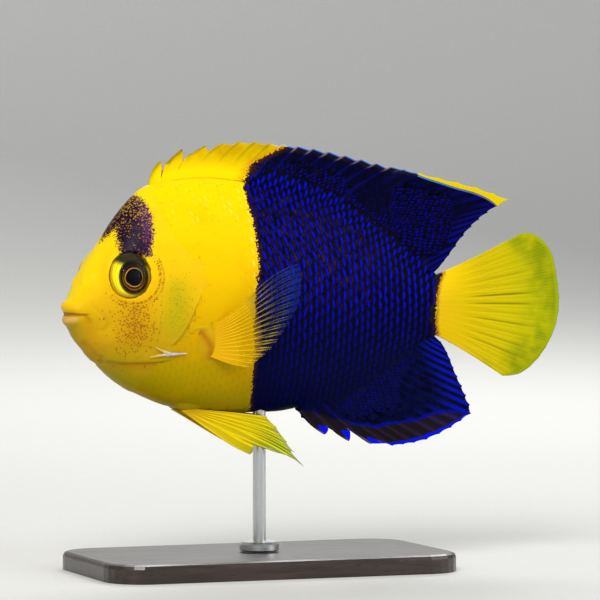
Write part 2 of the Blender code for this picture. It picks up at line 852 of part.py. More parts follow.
def stand_base():
    length, width, height = BASE_SIZE
    bm = bmesh.new()
    bmesh.ops.create_cube(bm, size=1.0, matrix=Matrix.Diagonal((length * MM, width * MM, height * MM, 1)))
    upright = [e for e in bm.edges if abs((e.verts[0].co - e.verts[1].co).z) > 0.5 * height * MM]
    bmesh.ops.bevel(bm, geom=upright, offset=BASE_CORNER * MM, segments=6, profile=0.5, affect="EDGES")
    top = [e for e in bm.edges if all(v.co.z > 0 for v in e.verts)]
    bmesh.ops.bevel(bm, geom=top, offset=BASE_EDGE * MM, segments=2, profile=0.5, affect="EDGES")
    bmesh.ops.translate(bm, verts=bm.verts, vec=(0, 0, height / 2 * MM))
    mesh = bpy.data.meshes.new("stand_base")
    bm.to_mesh(mesh)
    bm.free()
    obj = bpy.data.objects.new("stand_base", mesh)
    bpy.context.scene.collection.objects.link(obj)
    hole = [(0, 0, height - ROD_SUNK - GAP), (0, 0, height + 2)]
    return combined(obj, [tube("hole", hole, [ROD_RADIUS + GAP] * 2, 16)], "DIFFERENCE")


def stand_rod():
    low = BASE_SIZE[2] - ROD_SUNK
    high = AXIS_HEIGHT + belly_line(ROD_STATION) + ROD_SUNK
    return tube("stand_rod", [(0, 0, low), (0, 0, high)], [ROD_RADIUS] * 2, 16)


def stand_collar():
    low = BASE_SIZE[2] + GAP
    high = low + COLLAR_HEIGHT
    rings = [
        (COLLAR_RADIUS, low),
        (COLLAR_RADIUS, high - 0.6),
        (COLLAR_RADIUS - 0.6, high),
    ]
    path = [(0, 0, z) for _, z in rings]
    collar = tube("stand_collar", path, [r for r, _ in rings], 20)
    hole = tube("hole", [(0, 0, low - 1), (0, 0, high + 1)], [ROD_RADIUS + GAP] * 2, 16)
    return combined(collar, [hole], "DIFFERENCE")


def finish(obj, material):
    obj.data.materials.clear()
    obj.data.materials.append(material)
    obj.data.shade_smooth()
    obj.data.set_sharp_from_angle(angle=math.radians(40))


def main():
    clear_scene()
    yellow = paint("yellow_skin", (0.93, 0.67, 0.01), 0.4)
    blue = paint("blue_scales", (0.012, 0.012, 0.2), 0.4)
    tail_yellow = paint("yellow_fin", (0.78, 0.66, 0.0), 0.4)
    dark_eye = paint("eye", (0.03, 0.02, 0.01), 0.08)
    wood = paint("dark_wood", (0.02, 0.014, 0.011), 0.35)
    steel = paint("steel", (0.6, 0.6, 0.6), 0.3, 1.0)

    head, trunk, stem = body_parts()
    straight = [
        (head, yellow),
        (trunk, blue),
        (stem, blue),
        (dorsal_fin(), blue),
        (anal_fin(), blue),
        (tail_fin(), tail_yellow),
    ]
    for side, word in ((LEFT, "left"), (RIGHT, "right")):
        straight += [
            (eye(f"eye_{word}", side), dark_eye),
            (gill_cover(f"gill_cover_{word}", side), yellow),
            (pectoral_fin(f"pectoral_fin_{word}", side), tail_yellow),
            (pelvic_fin(f"pelvic_fin_{word}", side), tail_yellow),
        ]
    for obj, material in straight:
        finish(swim(obj), material)
    finish(stand_base(), wood)
    finish(stand_rod(), steel)
    finish(stand_collar(), steel)


main()
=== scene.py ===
"""A bicolor angelfish, life size, as a still painted model on its stand: the looks.

Sizes are in millimetres on the straight fish, as its maker lays it out: s runs back from the tip
of the snout, y to the fish's right and z up from the body's axis. Each mesh is then bent along
the turning fish and set at its height, in metres, where the solids are.
"""

import math

import bmesh
import bpy
import numpy as np
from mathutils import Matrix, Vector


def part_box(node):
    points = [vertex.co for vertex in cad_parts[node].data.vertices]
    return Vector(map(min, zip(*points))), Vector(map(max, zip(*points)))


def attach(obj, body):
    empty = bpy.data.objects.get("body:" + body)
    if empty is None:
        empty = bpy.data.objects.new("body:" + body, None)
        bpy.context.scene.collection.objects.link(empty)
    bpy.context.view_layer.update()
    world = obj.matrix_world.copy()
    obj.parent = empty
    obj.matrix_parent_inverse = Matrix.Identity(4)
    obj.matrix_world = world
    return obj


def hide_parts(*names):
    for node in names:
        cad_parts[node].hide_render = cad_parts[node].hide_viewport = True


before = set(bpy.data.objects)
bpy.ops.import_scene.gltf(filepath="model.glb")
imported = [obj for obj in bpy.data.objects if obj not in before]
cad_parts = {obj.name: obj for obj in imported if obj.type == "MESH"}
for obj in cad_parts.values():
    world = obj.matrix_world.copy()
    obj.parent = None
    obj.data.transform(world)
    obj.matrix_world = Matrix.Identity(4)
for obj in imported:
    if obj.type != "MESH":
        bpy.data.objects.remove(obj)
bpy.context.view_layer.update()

# The base: a block of beech with rounded corners and an eased upper edge, stained near black
# and sprayed with satin lacquer. The rod is glued into a hole drilled in its middle.


def pigment(code):
    """A linear colour from an sRGB hex value."""
    parts = [int(code[i : i + 2], 16) / 255 for i in (1, 3, 5)]
    return (*[c / 12.92 if c <= 0.04045 else ((c + 0.055) / 1.055) ** 2.4 for c in parts], 1.0)


def wire(tree, node, links):
    """Links or sets inputs of a node."""
    for name, value in links.items():
        if isinstance(value, bpy.types.NodeSocket):
            tree.links.new(value, node.inputs[name])
        else:
            node.inputs[name].default_value = value


def add(tree, kind, links=None, out=0, stops=(), **settings):
    """Adds a shader node with its settings, and its inputs linked or set, and gives one output."""
    made = tree.nodes.new("ShaderNode" + kind)
    for name, value in settings.items():
        setattr(made, name, value)
    wire(tree, made, links or {})
    if stops:
        ramp = made.color_ramp.elements
        ramp.remove(ramp[1])
        ramp[0].position, ramp[0].color = stops[0][0], pigment(stops[0][1])
        for position, code in stops[1:]:
            ramp.new(position).color = pigment(code)
    return made.outputs[out]


def coated(tree, base, coat, *masks):
    """Lays a coat of colour over a base where all of its masks, outputs or numbers, overlap."""
    share = masks[0]
    for mask in masks[1:]:
        share = add(tree, "Math", {0: share, 1: mask}, operation="MULTIPLY")
    base, coat = (pigment(c) if isinstance(c, str) else c for c in (base, coat))
    return add(tree, "Mix", {0: share, 6: base, 7: coat}, out=2, data_type="RGBA")


def coating(name):
    """A new material, its node tree and its shader."""
    material = bpy.data.materials.new(name)
    material.use_nodes = True
    tree = material.node_tree
    return material, tree, tree.nodes["Principled BSDF"]


PER_METRE = 1000
GRAIN_MM = 1.1
GRAIN_LENGTH_MM = 17.0
PORE_MM = 0.35
PORE_LENGTH_MM = 2.3
LACQUER_IOR = 1.5
FINE_RELIEF = 0.0001
SOFT_EDGED = {"interpolation_type": "SMOOTHSTEP"}


def stained_beech():
    """Satin lacquer over dark stain: a soft sheen, with faint long grain and short pores."""
    material, tree, shader = coating("dark_stained_beech_satin_lacquer")
    place = add(tree, "TexCoord", out="Object")
    across, along_grain = PER_METRE / GRAIN_MM, PER_METRE / GRAIN_LENGTH_MM
    grain_place = add(tree, "Mapping", {"Vector": place, "Scale": (along_grain, across, across)})
    grain = add(
        tree, "TexNoise", {"Vector": grain_place, "Scale": 1.0, "Detail": 4.0, "Distortion": 0.4},
    )
    pore_scale = (PER_METRE / PORE_LENGTH_MM, PER_METRE / PORE_MM, PER_METRE / PORE_MM)
    pore_place = add(tree, "Mapping", {"Vector": place, "Scale": pore_scale})
    pores = add(tree, "TexNoise", {"Vector": pore_place, "Scale": 1.0, "Detail": 1.0})
    pit = add(tree, "MapRange", {0: pores, 1: 0.6, 2: 0.72}, **SOFT_EDGED)
    wood = add(
        tree, "ValToRGB", {0: grain}, stops=[(0.3, "#1B120D"), (0.5, "#2B1D15"), (0.7, "#3A281D")],
    )
    wood = coated(tree, wood, "#120C08", pit)
    bump = add(
        tree, "Bump", {"Height": pit, "Strength": 0.25, "Distance": FINE_RELIEF}, invert=True,
    )
    roughness = add(tree, "MapRange", {0: grain, 1: 0.3, 2: 0.7, 3: 0.3, 4: 0.42})
    wire(
        tree, shader,
        {
            "Base Color": wood, "Roughness": roughness, "Normal": bump, "IOR": LACQUER_IOR,
            "Coat Weight": 0.35, "Coat Roughness": 0.2,
        },
    )
    return material


def dress(node, material):
    """Gives a carried-over solid its finish."""
    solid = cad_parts[node]
    solid.data.materials.clear()
    solid.data.materials.append(material)


dress("stand_base", stained_beech())

# The rod and its collar: drawn stainless rod, 3 mm thick, polished along its length, and a ring
# turned on a lathe with a chamfered top.

ROD_RADIUS = 1.5
EASED_EDGE = 0.2
COLLAR_RADIUS = 4.5
COLLAR_LOW = 6.3
COLLAR_HIGH = 8.3
CHAMFER = 0.55
BORE_RADIUS = 1.55
BORE_CHAMFER = 0.25
ROD_STEPS = 48
COLLAR_STEPS = 72
TURNED_CORNER = math.radians(30)
# Real scratches are finer: these are as coarse as they need to be to show
SCRATCH_MM = 0.25
SCRATCH_LENGTH_MM = 12.5


def put(name, points, faces, values=None):
    """A mesh object from points in metres, with values for each point as attributes."""
    mesh = bpy.data.meshes.new(name)
    mesh.from_pydata(
        np.asarray(points, float).tolist(), [], faces if isinstance(faces, list) else faces.tolist()
    )
    give(mesh, values or {})
    mesh.shade_smooth()
    obj = bpy.data.objects.new(name, mesh)
    bpy.context.scene.collection.objects.link(obj)
    return obj


def give(mesh, values):
    """Writes values for each point of a mesh, one number or three, as attributes."""
    for key, array in values.items():
        array = np.asarray(array, np.float32)
        kind, field = ("FLOAT", "value") if array.ndim == 1 else ("FLOAT_VECTOR", "vector")
        mesh.attributes.new(key, kind, "POINT").data.foreach_set(field, array.ravel())


def grid_faces(columns, rows):
    """The four-sided faces of a sheet of points, laid out column by column."""
    c, r = np.meshgrid(np.arange(columns - 1), np.arange(rows - 1), indexing="ij")
    corners = [c * rows + r, (c + 1) * rows + r, (c + 1) * rows + r + 1, c * rows + r + 1]
    return np.stack(corners, -1).reshape(-1, 4)


def joined_rings(rings, close=True):
    """Points and faces over rings (rows of points), each joined to the next and closed round."""
    rows, count = rings.shape[:2]
    i, j = np.meshgrid(np.arange(rows - 1), np.arange(count), indexing="ij")
    k = (j + 1) % count
    faces = np.stack([i * count + j, i * count + k, (i + 1) * count + k, (i + 1) * count + j], -1)
    faces = faces.reshape(-1, 4).tolist()
    if close:
        faces.append(list(range(count))[::-1])
        faces.append(list(range((rows - 1) * count, rows * count)))
    return rings.reshape(-1, 3), faces


def turned(name, profile, steps, close=True):
    """A lathe-turned piece about the z axis from (radius, height) pairs in mm."""
    angles = np.linspace(0, 2 * math.pi, steps, endpoint=False)
    rings = np.array([[(r * math.cos(a), r * math.sin(a), h) for a in angles] for r, h in profile])
    points, faces = joined_rings(rings, close)
    return put(name, points / PER_METRE, faces)


def stainless(name, scratch_scale):
    """Polished stainless: bright and smooth, with fine scratches the way it was turned or drawn."""
    material, tree, shader = coating(name)
    scratch_place = add(
        tree, "Mapping", {"Vector": add(tree, "TexCoord", out="Object"), "Scale": scratch_scale},
    )
    scratches = add(tree, "TexNoise", {"Vector": scratch_place, "Scale": 1.0, "Detail": 2.0})
    rough = add(tree, "MapRange", {0: scratches, 1: 0.3, 2: 0.7, 3: 0.18, 4: 0.34})
    bump = add(tree, "Bump", {"Height": scratches, "Strength": 0.06, "Distance": FINE_RELIEF})
    wire(
        tree, shader,
        {"Base Color": pigment("#C9CBCC"), "Metallic": 1.0, "Roughness": rough, "Normal": bump},
    )
    return material


fine, long = PER_METRE / SCRATCH_MM, PER_METRE / SCRATCH_LENGTH_MM
rod_low, rod_high = (corner.z * PER_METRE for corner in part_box("stand_rod"))
rod_profile = [
    (ROD_RADIUS - EASED_EDGE, rod_low), (ROD_RADIUS, rod_low + EASED_EDGE),
    (ROD_RADIUS, rod_high - EASED_EDGE), (ROD_RADIUS - EASED_EDGE, rod_high),
]
rod = turned("rod", rod_profile, ROD_STEPS)
rod.data.materials.append(stainless("drawn_stainless_rod", (fine, fine, long)))
ring_profile = [
    (BORE_RADIUS, COLLAR_LOW), (COLLAR_RADIUS - EASED_EDGE, COLLAR_LOW),
    (COLLAR_RADIUS, COLLAR_LOW + EASED_EDGE), (COLLAR_RADIUS, COLLAR_HIGH - CHAMFER),
    (COLLAR_RADIUS - CHAMFER, COLLAR_HIGH), (BORE_RADIUS + BORE_CHAMFER, COLLAR_HIGH),
    (BORE_RADIUS, COLLAR_HIGH - BORE_CHAMFER), (BORE_RADIUS, COLLAR_LOW),
]
collar = turned("collar", ring_profile, COLLAR_STEPS, close=False)
collar.data.materials.append(stainless("lathe_turned_stainless_collar", (long, long, fine)))
for piece, node in ((rod, "stand_rod"), (collar, "stand_collar")):
    piece.data.set_sharp_from_angle(angle=TURNED_CORNER)
    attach(piece, "root")
    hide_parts(node)

# The skin: one cast of hard resin, without seams from the lips to the root of the tail, painted
# by airbrush and sealed with lacquer. Scales, fins, eyes and cheek spines are set into it.

SNOUT = 2.5
STEM_END = 92.5
TOTAL_LENGTH = 122.5
BEND_EACH_END = math.radians(8)
AXIS_HEIGHT = 62.0
ROD_STATION = 49.0
LEFT, RIGHT = -1, 1
SIDES = ((LEFT, "left"), (RIGHT, "right"))
FIRST_VOXEL = 0.36
VOXEL = 0.3
SCALE_DEPTH = 0.16
SNOUT_END = 28.0
SNOUT_RINGS, TRUNK_RINGS, ROUND_STEPS = 76, 108, 224
EASING_ROUNDS, LAST_ROUNDS = 36, 3


def curve_through(*points):
    """A smooth function through the points (x, value), with no overshoot between them."""
    xs, ys = np.array(points, float).T
    slopes = np.diff(ys) / np.diff(xs)
    before, after = slopes[:-1], slopes[1:]
    total = np.where(before + after == 0, 1, before + after)
    inner = np.where(before * after > 0, 2 * before * after / total, 0.0)
    tangents = np.concatenate([slopes[:1], inner, slopes[-1:]])

    def value(x):
        x = np.clip(x, xs[0], xs[-1])
        i = np.clip(np.searchsorted(xs, x, "right") - 1, 0, len(xs) - 2)
        width = xs[i + 1] - xs[i]
        t = (x - xs[i]) / width
        rise = ys[i + 1] - ys[i]
        start, end = tangents[i] * width, tangents[i + 1] * width
        bend, twist = 3 * rise - 2 * start - end, start + end - 2 * rise
        return ys[i] + t * (start + t * (bend + t * twist))

    return value


back_line = curve_through(
    (SNOUT, 2.6), (3.6, 4.9), (4.2, 6.3), (5.4, 8.6), (9.0, 13.6), (12.0, 18.0), (15.2, 22.3),
    (20.0, 26.8), (25.7, 29.2), (34.3, 30.0), (46.6, 28.8), (57.0, 26.4), (68.7, 21.6),
    (78.7, 15.2), (86.5, 8.9), (STEM_END, 7.2),
)
belly_line = curve_through(
    (SNOUT, -5.0), (3.6, -7.0), (6.2, -9.9), (9.3, -12.9), (13.3, -16.4), (18.0, -19.2),
    (28.4, -23.0), (40.0, -24.4), (52.0, -24.4), (60.0, -23.2), (71.2, -18.4), (82.7, -10.9),
    (87.6, -8.6), (STEM_END, -7.7),
)
half_width = curve_through(
    (SNOUT, 3.3), (3.4, 4.2), (5.0, 5.3), (8.0, 7.3), (12.0, 9.3), (17.0, 10.3), (25.0, 10.9),
    (33.0, 11.0), (45.0, 10.3), (55.0, 8.9), (65.0, 7.1), (75.0, 5.2), (85.0, 3.5), (STEM_END, 2.0),
)
widest_height = curve_through(
    (SNOUT, -0.2), (12.0, 2.6), (30.0, 1.5), (60.0, 0.5), (STEM_END, -0.3),
)
back_sharpness = curve_through((SNOUT, 1.0), (20.0, 1.25), (60.0, 1.35), (STEM_END, 1.0))
belly_sharpness = curve_through((SNOUT, 1.0), (30.0, 1.05), (60.0, 1.3), (STEM_END, 1.0))


def half_section(s, angle):
    """(y, z) of the left or right flank at an angle from the back, 0, to the belly, pi."""
    upper = np.cos(angle) > 0
    edge = np.where(upper, back_line(s), belly_line(s))
    sharpness = np.where(upper, back_sharpness(s), belly_sharpness(s))
    middle = widest_height(s)
    y = half_width(s) * np.abs(np.sin(angle)) ** sharpness
    return y, middle + (edge - middle) * np.abs(np.cos(angle))


def flank(s, z):
    """The body's half-width at station s and height z."""
    middle = widest_height(s)
    upper = z > middle
    edge = np.where(upper, back_line(s), belly_line(s))
    sharpness = np.where(upper, back_sharpness(s), belly_sharpness(s))
    height = np.minimum(1.0, (z - middle) / (edge - middle))
    return half_width(s) * np.maximum(0.0, 1 - height * height) ** (sharpness / 2)


def centre_line(s):
    """Where the bent middle line is at station s, and its heading."""
    turn = 2 * BEND_EACH_END / TOTAL_LENGTH
    heading = BEND_EACH_END - turn * s
    x = (math.sin(BEND_EACH_END) - np.sin(heading)) / turn
    return x, (np.cos(heading) - math.cos(BEND_EACH_END)) / turn, heading


def swim(points):
    """Bends straight points along the turning fish, over the rod, in metres."""
    s, y, z = np.asarray(points, float).T
    rod_x, rod_y, _ = centre_line(ROD_STATION)
    x0, y0, heading = centre_line(s)
    x, y = x0 - y * np.sin(heading) - rod_x, y0 + y * np.cos(heading) - rod_y
    return np.stack([x, y, z + AXIS_HEIGHT], 1) / PER_METRE


def smooth_step(x, low, high):
    """0 up to low, 1 from high on, and an S curve between them."""
    t = np.clip((x - low) / (high - low), 0, 1)
    return t * t * (3 - 2 * t)


def hump(x, middle, width):
    """1 at the middle, falling away evenly on both sides."""
    return np.exp(-(((x - middle) / width) ** 2))


def turned_frame(forward, up, side):
    """Rotation that turns straight out to the side a little forward and up."""
    a, b = -side * forward, side * up
    about_z = np.array([[math.cos(a), -math.sin(a), 0], [math.sin(a), math.cos(a), 0], [0, 0, 1]])
    about_x = np.array([[1, 0, 0], [0, math.cos(b), -math.sin(b)], [0, math.sin(b), math.cos(b)]])
    return about_z @ about_x


def ball(name, centre, radii, turn=None, steps=(48, 28)):
    """A closed ellipsoid with its poles along y."""
    around, across = steps
    polar = np.linspace(0.02, math.pi - 0.02, across)[:, None]
    angle = np.linspace(0, 2 * math.pi, around, endpoint=False)[None, :]
    shape = np.stack(
        [np.sin(polar) * np.cos(angle), np.cos(polar) + 0 * angle, np.sin(polar) * np.sin(angle)],
        -1,
    )
    shape = (shape * radii) @ (np.eye(3) if turn is None else turn).T + np.array(centre)
    return put(name, *joined_rings(shape))


def tube(name, path, radii, sides=24):
    """A closed tube along a path, with a radius for each point."""
    path = np.array(path, float)
    forward = np.gradient(path, axis=0)
    forward /= np.linalg.norm(forward, axis=1, keepdims=True)
    across = np.cross(forward, (0, 0, 1.0))
    across /= np.linalg.norm(across, axis=1, keepdims=True)
    up = np.cross(across, forward)
    angle = np.linspace(0, 2 * math.pi, sides, endpoint=False)
    cosine, sine = (turn(angle)[None, :, None] for turn in (np.cos, np.sin))
    reach = across[:, None] * cosine + up[:, None] * sine
    return put(name, *joined_rings(path[:, None] + reach * np.array(radii)[:, None, None]))


def turn_outwards(obj):
    """Turns a closed mesh's faces outwards."""
    work = bmesh.new()
    work.from_mesh(obj.data)
    bmesh.ops.recalc_face_normals(work, faces=work.faces)
    work.to_mesh(obj.data)
    work.free()


def worked(obj, kind, **settings):
    """Applies one modifier to a mesh."""
    modifier = obj.modifiers.new("work", kind)
    for name, value in settings.items():
        setattr(modifier, name, value)
    mesh = bpy.data.meshes.new_from_object(obj.evaluated_get(bpy.context.evaluated_depsgraph_get()))
    obj.modifiers.clear()
    obj.data = mesh
    return obj


def carved(whole, others, operation):
    """Joins or cuts a closed mesh by others, and removes them."""
    for other in others:
        turn_outwards(other)
        worked(whole, "BOOLEAN", object=other, operation=operation, solver="MANIFOLD")
        bpy.data.objects.remove(other)


def points_of(obj):
    """A mesh's points, and the pairs of them that its edges join."""
    points, pairs = np.empty(len(obj.data.vertices) * 3), np.empty(len(obj.data.edges) * 2, int)
    obj.data.vertices.foreach_get("co", points)
    obj.data.edges.foreach_get("vertices", pairs)
    return points.reshape(-1, 3), pairs.reshape(-1, 2)


def relaxed(points, pairs, times, share):
    """Evens out a mesh: each point moves its share of the way into its neighbours."""
    ends, others = pairs.ravel(), pairs[:, ::-1].ravel()
    count = np.bincount(ends, minlength=len(points))
    for _ in range(times):
        sums = [np.bincount(ends, points[others, k], len(points)) for k in range(3)]
        middle = np.stack(sums, 1) / count[:, None]
        points = points + share * (middle - points)
    return points


MOUTH_CORNER = np.array((5.0, 3.6, -1.5))
UPPER_LIP = ((2.15, 0.55), 1.5, 0.55)
LOWER_LIP = ((2.3, -2.6), 1.35, 0.55)
MOUTH_GAP = ((1.1, 0.0, -1.15), (5.5, 6.4, 0.26))
EYE_PLACE = (13.9, 7.7, 7.4)
EYE_RADIUS = 5.45
EYE_HEIGHT = 3.5
EYE_TURN = (math.radians(6), math.radians(5))
ORBIT_RADII = (6.5, 2.7, 6.5)
NOSTRILS = ((4.7, 6.2, 0.36), (5.8, 7.3, 0.3))
PECTORAL_ROOT = ((31.4, -9.9, -4.0), (33.2, -9.4, -11.2))
PECTORAL_PAD = (2.2, 1.25, 4.3)
PELVIC_PAD_PLACE = (30.4, -2.8, -22.6)
PELVIC_PAD = (3.4, 0.9, 1.5)


def lip(name, front, radius, corner_radius):
    """A roll round the front of the jaw, from one corner of the mouth to the other."""
    angle = math.pi * (np.linspace(0, 1, 33) - 0.5)
    share = np.cos(angle)
    path = np.stack(
        [
            MOUTH_CORNER[0] + (front[0] - MOUTH_CORNER[0]) * share,
            MOUTH_CORNER[1] * np.sin(angle),
            MOUTH_CORNER[2] + (front[1] - MOUTH_CORNER[2]) * share ** 0.7,
        ],
        1,
    )
    return tube(name, path, corner_radius + (radius - corner_radius) * share ** 0.7)


def nostril(side, place, grow, length):
    """A short round spout, or the pit in it, on the snout in front of the eye."""
    s, z, radius = place
    out = np.array((-0.5, side * 0.8, 0.3))
    out /= np.linalg.norm(out)
    foot = np.array((s, side * float(flank(s, z)), z))
    return tube("spout", [foot - out * 0.7, foot + out * length], [radius + grow] * 2, 16)


def leaning(side):
    """The turn that lays an ellipsoid's z axis along the pectoral fin's root, and its middle."""
    first, last = (np.array((p[0], -side * p[1], p[2])) for p in PECTORAL_ROOT)
    up = (first - last) / np.linalg.norm(first - last)
    forward = np.cross((0, 1.0, 0), up)
    forward /= np.linalg.norm(forward)
    return np.stack([forward, np.cross(up, forward), up], 1), (first + last) / 2


def cast_body():
    """The loft, with lips, orbits and fin pads grown into it, then hollowed for the eyes."""
    stations = np.concatenate(
        [
            np.linspace(SNOUT, SNOUT_END, SNOUT_RINGS),
            np.linspace(SNOUT_END + 0.6, STEM_END, TRUNK_RINGS),
        ]
    )
    angle = np.linspace(0, 2 * math.pi, ROUND_STEPS, endpoint=False)
    side_of = np.where(np.sin(angle) > 0, LEFT, RIGHT)
    rings = []
    for s in stations:
        y, z = half_section(s, angle)
        rings.append(np.stack([np.full_like(y, s), side_of * y, z], 1))
    whole = put("skin", *joined_rings(np.array(rings)))
    turn_outwards(whole)
    additions = [lip("upper_lip", *UPPER_LIP), lip("lower_lip", *LOWER_LIP)]
    cutters = [ball("gap", *MOUTH_GAP)]
    for side in (LEFT, RIGHT):
        turn = turned_frame(*EYE_TURN, side)
        centre = np.array((EYE_PLACE[0], side * EYE_PLACE[1], EYE_PLACE[2]))
        additions.append(ball("orbit", centre - (0, side * 1.7, 0), ORBIT_RADII, turn))
        cutters.append(
            ball("socket", centre, (EYE_RADIUS - 0.05, EYE_HEIGHT, EYE_RADIUS - 0.05), turn)
        )
        lean, middle = leaning(side)
        additions.append(ball("pectoral_pad", middle, PECTORAL_PAD, lean))
        additions.append(ball("pelvic_pad", np.array(PELVIC_PAD_PLACE) * (1, -side, 1), PELVIC_PAD))
        for place in NOSTRILS:
            additions.append(nostril(side, place, 0.28, 0.45))
            cutters.append(nostril(side, place, -0.05, 1.1))
    carved(whole, additions, "UNION")
    worked(whole, "REMESH", mode="VOXEL", voxel_size=FIRST_VOXEL)
    points, pairs = points_of(whole)
    s, y, z = points.T
    round_eye = np.hypot(s - EYE_PLACE[0], z - EYE_PLACE[2])
    near_eye = 1 - smooth_step(round_eye, 9.5, 12.0)
    ease = smooth_step(round_eye, 5.0, 6.2) * near_eye * (np.abs(y) > 1.5)
    for place, reach in (
        ((PECTORAL_ROOT[0], PECTORAL_ROOT[1]), 7.0), ((PELVIC_PAD_PLACE,) * 2, 5.0),
    ):
        middle = np.mean(place, 0)
        ease = np.maximum(
            ease, 1 - smooth_step(np.hypot(s - middle[0], z - middle[2]), reach - 2, reach),
        )
    snout = 0.5 * smooth_step(s, 2.2, 4.2) + 0.07
    ease = np.maximum(ease, snout * (1 - smooth_step(s, 6.5, 9.0)))
    near_spout = np.hypot(s - 5.2, z - 6.7) < 1.8
    ease = np.where(near_spout, 0.12, ease)
    ease = np.where(near_path(s, z, (4.4, -7.2), (9.4, -12.4)) < 1.6, 0.2, ease)
    points = relaxed(points, pairs, EASING_ROUNDS, 0.6 * np.maximum(ease, 0.04)[:, None])
    whole.data.vertices.foreach_set("co", points.ravel())
    whole.data.update()
    carved(whole, cutters, "DIFFERENCE")
    return worked(whole, "REMESH", mode="VOXEL", voxel_size=VOXEL)


def near_path(s, z, *corners):
    """How far each place is from a line through the corners, in mm as seen from the side."""
    nearest = np.full(np.shape(s), 1e9)
    for (s0, z0), (s1, z1) in zip(corners, corners[1:]):
        ds, dz = s1 - s0, z1 - z0
        t = np.clip(((s - s0) * ds + (z - z0) * dz) / (ds * ds + dz * dz), 0, 1)
        nearest = np.minimum(nearest, np.hypot(s - s0 - t * ds, z - z0 - t * dz))
    return nearest


cover_front = curve_through((-8.4, 21.6), (-5.0, 20.7), (0.0, 20.8), (8.0, 21.8), (12.5, 24.6))
cover_rear = curve_through(
    (-8.4, 23.0), (-5.8, 25.4), (-2.7, 27.3), (0.8, 28.8), (5.0, 30.3), (9.0, 29.6), (12.5, 26.0)
)
cheek_edge = curve_through((-9.0, 19.4), (-2.4, 20.0), (4.2, 20.4), (10.9, 21.0), (15.3, 21.4))
cheek_floor = curve_through(
    (7.5, -11.0), (10.0, -11.7), (14.0, -12.1), (20.0, -12.0), (26.0, -11.6),
)
scales_from = curve_through(
    (-24.0, 15.0), (-14.0, 19.5), (-8.4, 24.4), (-6.1, 27.0), (-2.7, 28.8), (0.6, 30.5),
    (5.0, 31.7), (9.0, 31.0), (12.5, 27.6), (16.0, 24.5), (20.0, 22.8), (30.0, 20.4),
)
# Creases and folds of the skin: a path, how wide and how deep
MOUTH_CREASE = (((3.6, -1.35), (4.3, -1.8), (4.9, -2.5)), 0.28, -0.22)
JAW_FOLD = (
    ((5.3, 0.6), (6.2, -0.3), (7.9, -1.9), (8.5, -3.2), (7.9, -4.4), (6.8, -4.8)), 0.45, -0.13,
)
CHIN_GROOVE = (((4.9, -7.6), (6.4, -9.2), (8.0, -10.9)), 0.3, -0.2)
CHIN_END = (((6.8, -10.0), (7.9, -11.2)), 0.7, 0.18)
CHIN_NOTCH = (((8.7, -10.8), (9.3, -12.3)), 0.4, -0.4)
ROOT_CREASE = (((28.8, -2.9), (29.9, -3.5), (31.2, -3.4)), 0.35, -0.22)
ROOT_BUMP = (((28.6, -4.6), (30.0, -4.2), (31.4, -4.2)), 0.7, 0.3)
ROOT_FOLD = (((30.2, -5.6), (31.7, -7.1), (32.6, -8.8), (32.5, -10.4)), 0.5, -0.22)
WRINKLES = [
    (((27.6 + 0.9 * i, -5.4 - 0.1 * i), (30.0 + 0.75 * i, -9.8 + 0.3 * i)), 0.2, -0.1)
    for i in range(4)
]
CREASES = [
    MOUTH_CREASE, JAW_FOLD, CHIN_GROOVE, CHIN_END, CHIN_NOTCH, ROOT_CREASE, ROOT_BUMP, ROOT_FOLD,
    *WRINKLES,
]


def along_paths(s, z, paths):
    """The sum of lines or washes, each a path of corners, its width in mm and its strength."""
    return sum(most * hump(near_path(s, z, *path), 0.0, wide) for path, wide, most in paths)


def relief(s, z):
    """How far the skin stands out from the body: gill covers, cheeks, creases, scales' bed."""
    tall = smooth_step(z, -9.4, -7.4) * (1 - smooth_step(z, 0.0, 7.0))
    u = np.clip((s - cover_front(z)) / (cover_rear(z) - cover_front(z)), 0, 1)
    behind = s - cover_rear(z)
    cover = 0.28 * u * u * (1 - smooth_step(behind, -0.1, 0.5))
    groove = -0.15 * smooth_step(behind, -0.1, 0.4) * (1 - smooth_step(behind, 0.5, 2.4))
    double_line = -0.12 * hump(behind, -1.0, 0.22)
    on_cheek = s - cheek_edge(z) - 0.12 * np.sin(z * 7.0)
    cheek_tall = smooth_step(z, -9.5, -8.0) * (1 - smooth_step(z, 7.0, 13.0))
    edge = smooth_step(on_cheek, -3.0, -0.2) * (1 - smooth_step(on_cheek, -0.1, 0.4))
    cheek = 0.12 * edge - 0.12 * hump(on_cheek, 0.45, 0.35) - 0.08 * hump(on_cheek, -0.75, 0.25)
    above = z - cheek_floor(s)
    fade = 1 - smooth_step(above, 0.3, 3.5)
    floor = 0.3 * smooth_step(above, -0.15, 0.35) * fade - 0.12 * hump(above, -0.4, 0.4)
    floor = floor * smooth_step(s, 8.2, 9.6) * (1 - smooth_step(s, 22.0, 27.0))
    bed = -SCALE_DEPTH * smooth_step(s - scales_from(z), -0.5, 1.5)
    covers = tall * (cover + groove + double_line)
    return covers + cheek_tall * cheek + floor + bed + along_paths(s, z, CREASES)


skin = cast_body()
straight, pairs = points_of(skin)
straight = relaxed(straight, pairs, LAST_ROUNDS, 0.5)
skin.data.vertices.foreach_set("co", straight.ravel())
skin.data.update()
normals = np.empty(straight.size)
skin.data.vertex_normals.foreach_get("vector", normals)
straight = straight + normals.reshape(-1, 3) * relief(straight[:, 0], straight[:, 2])[:, None]

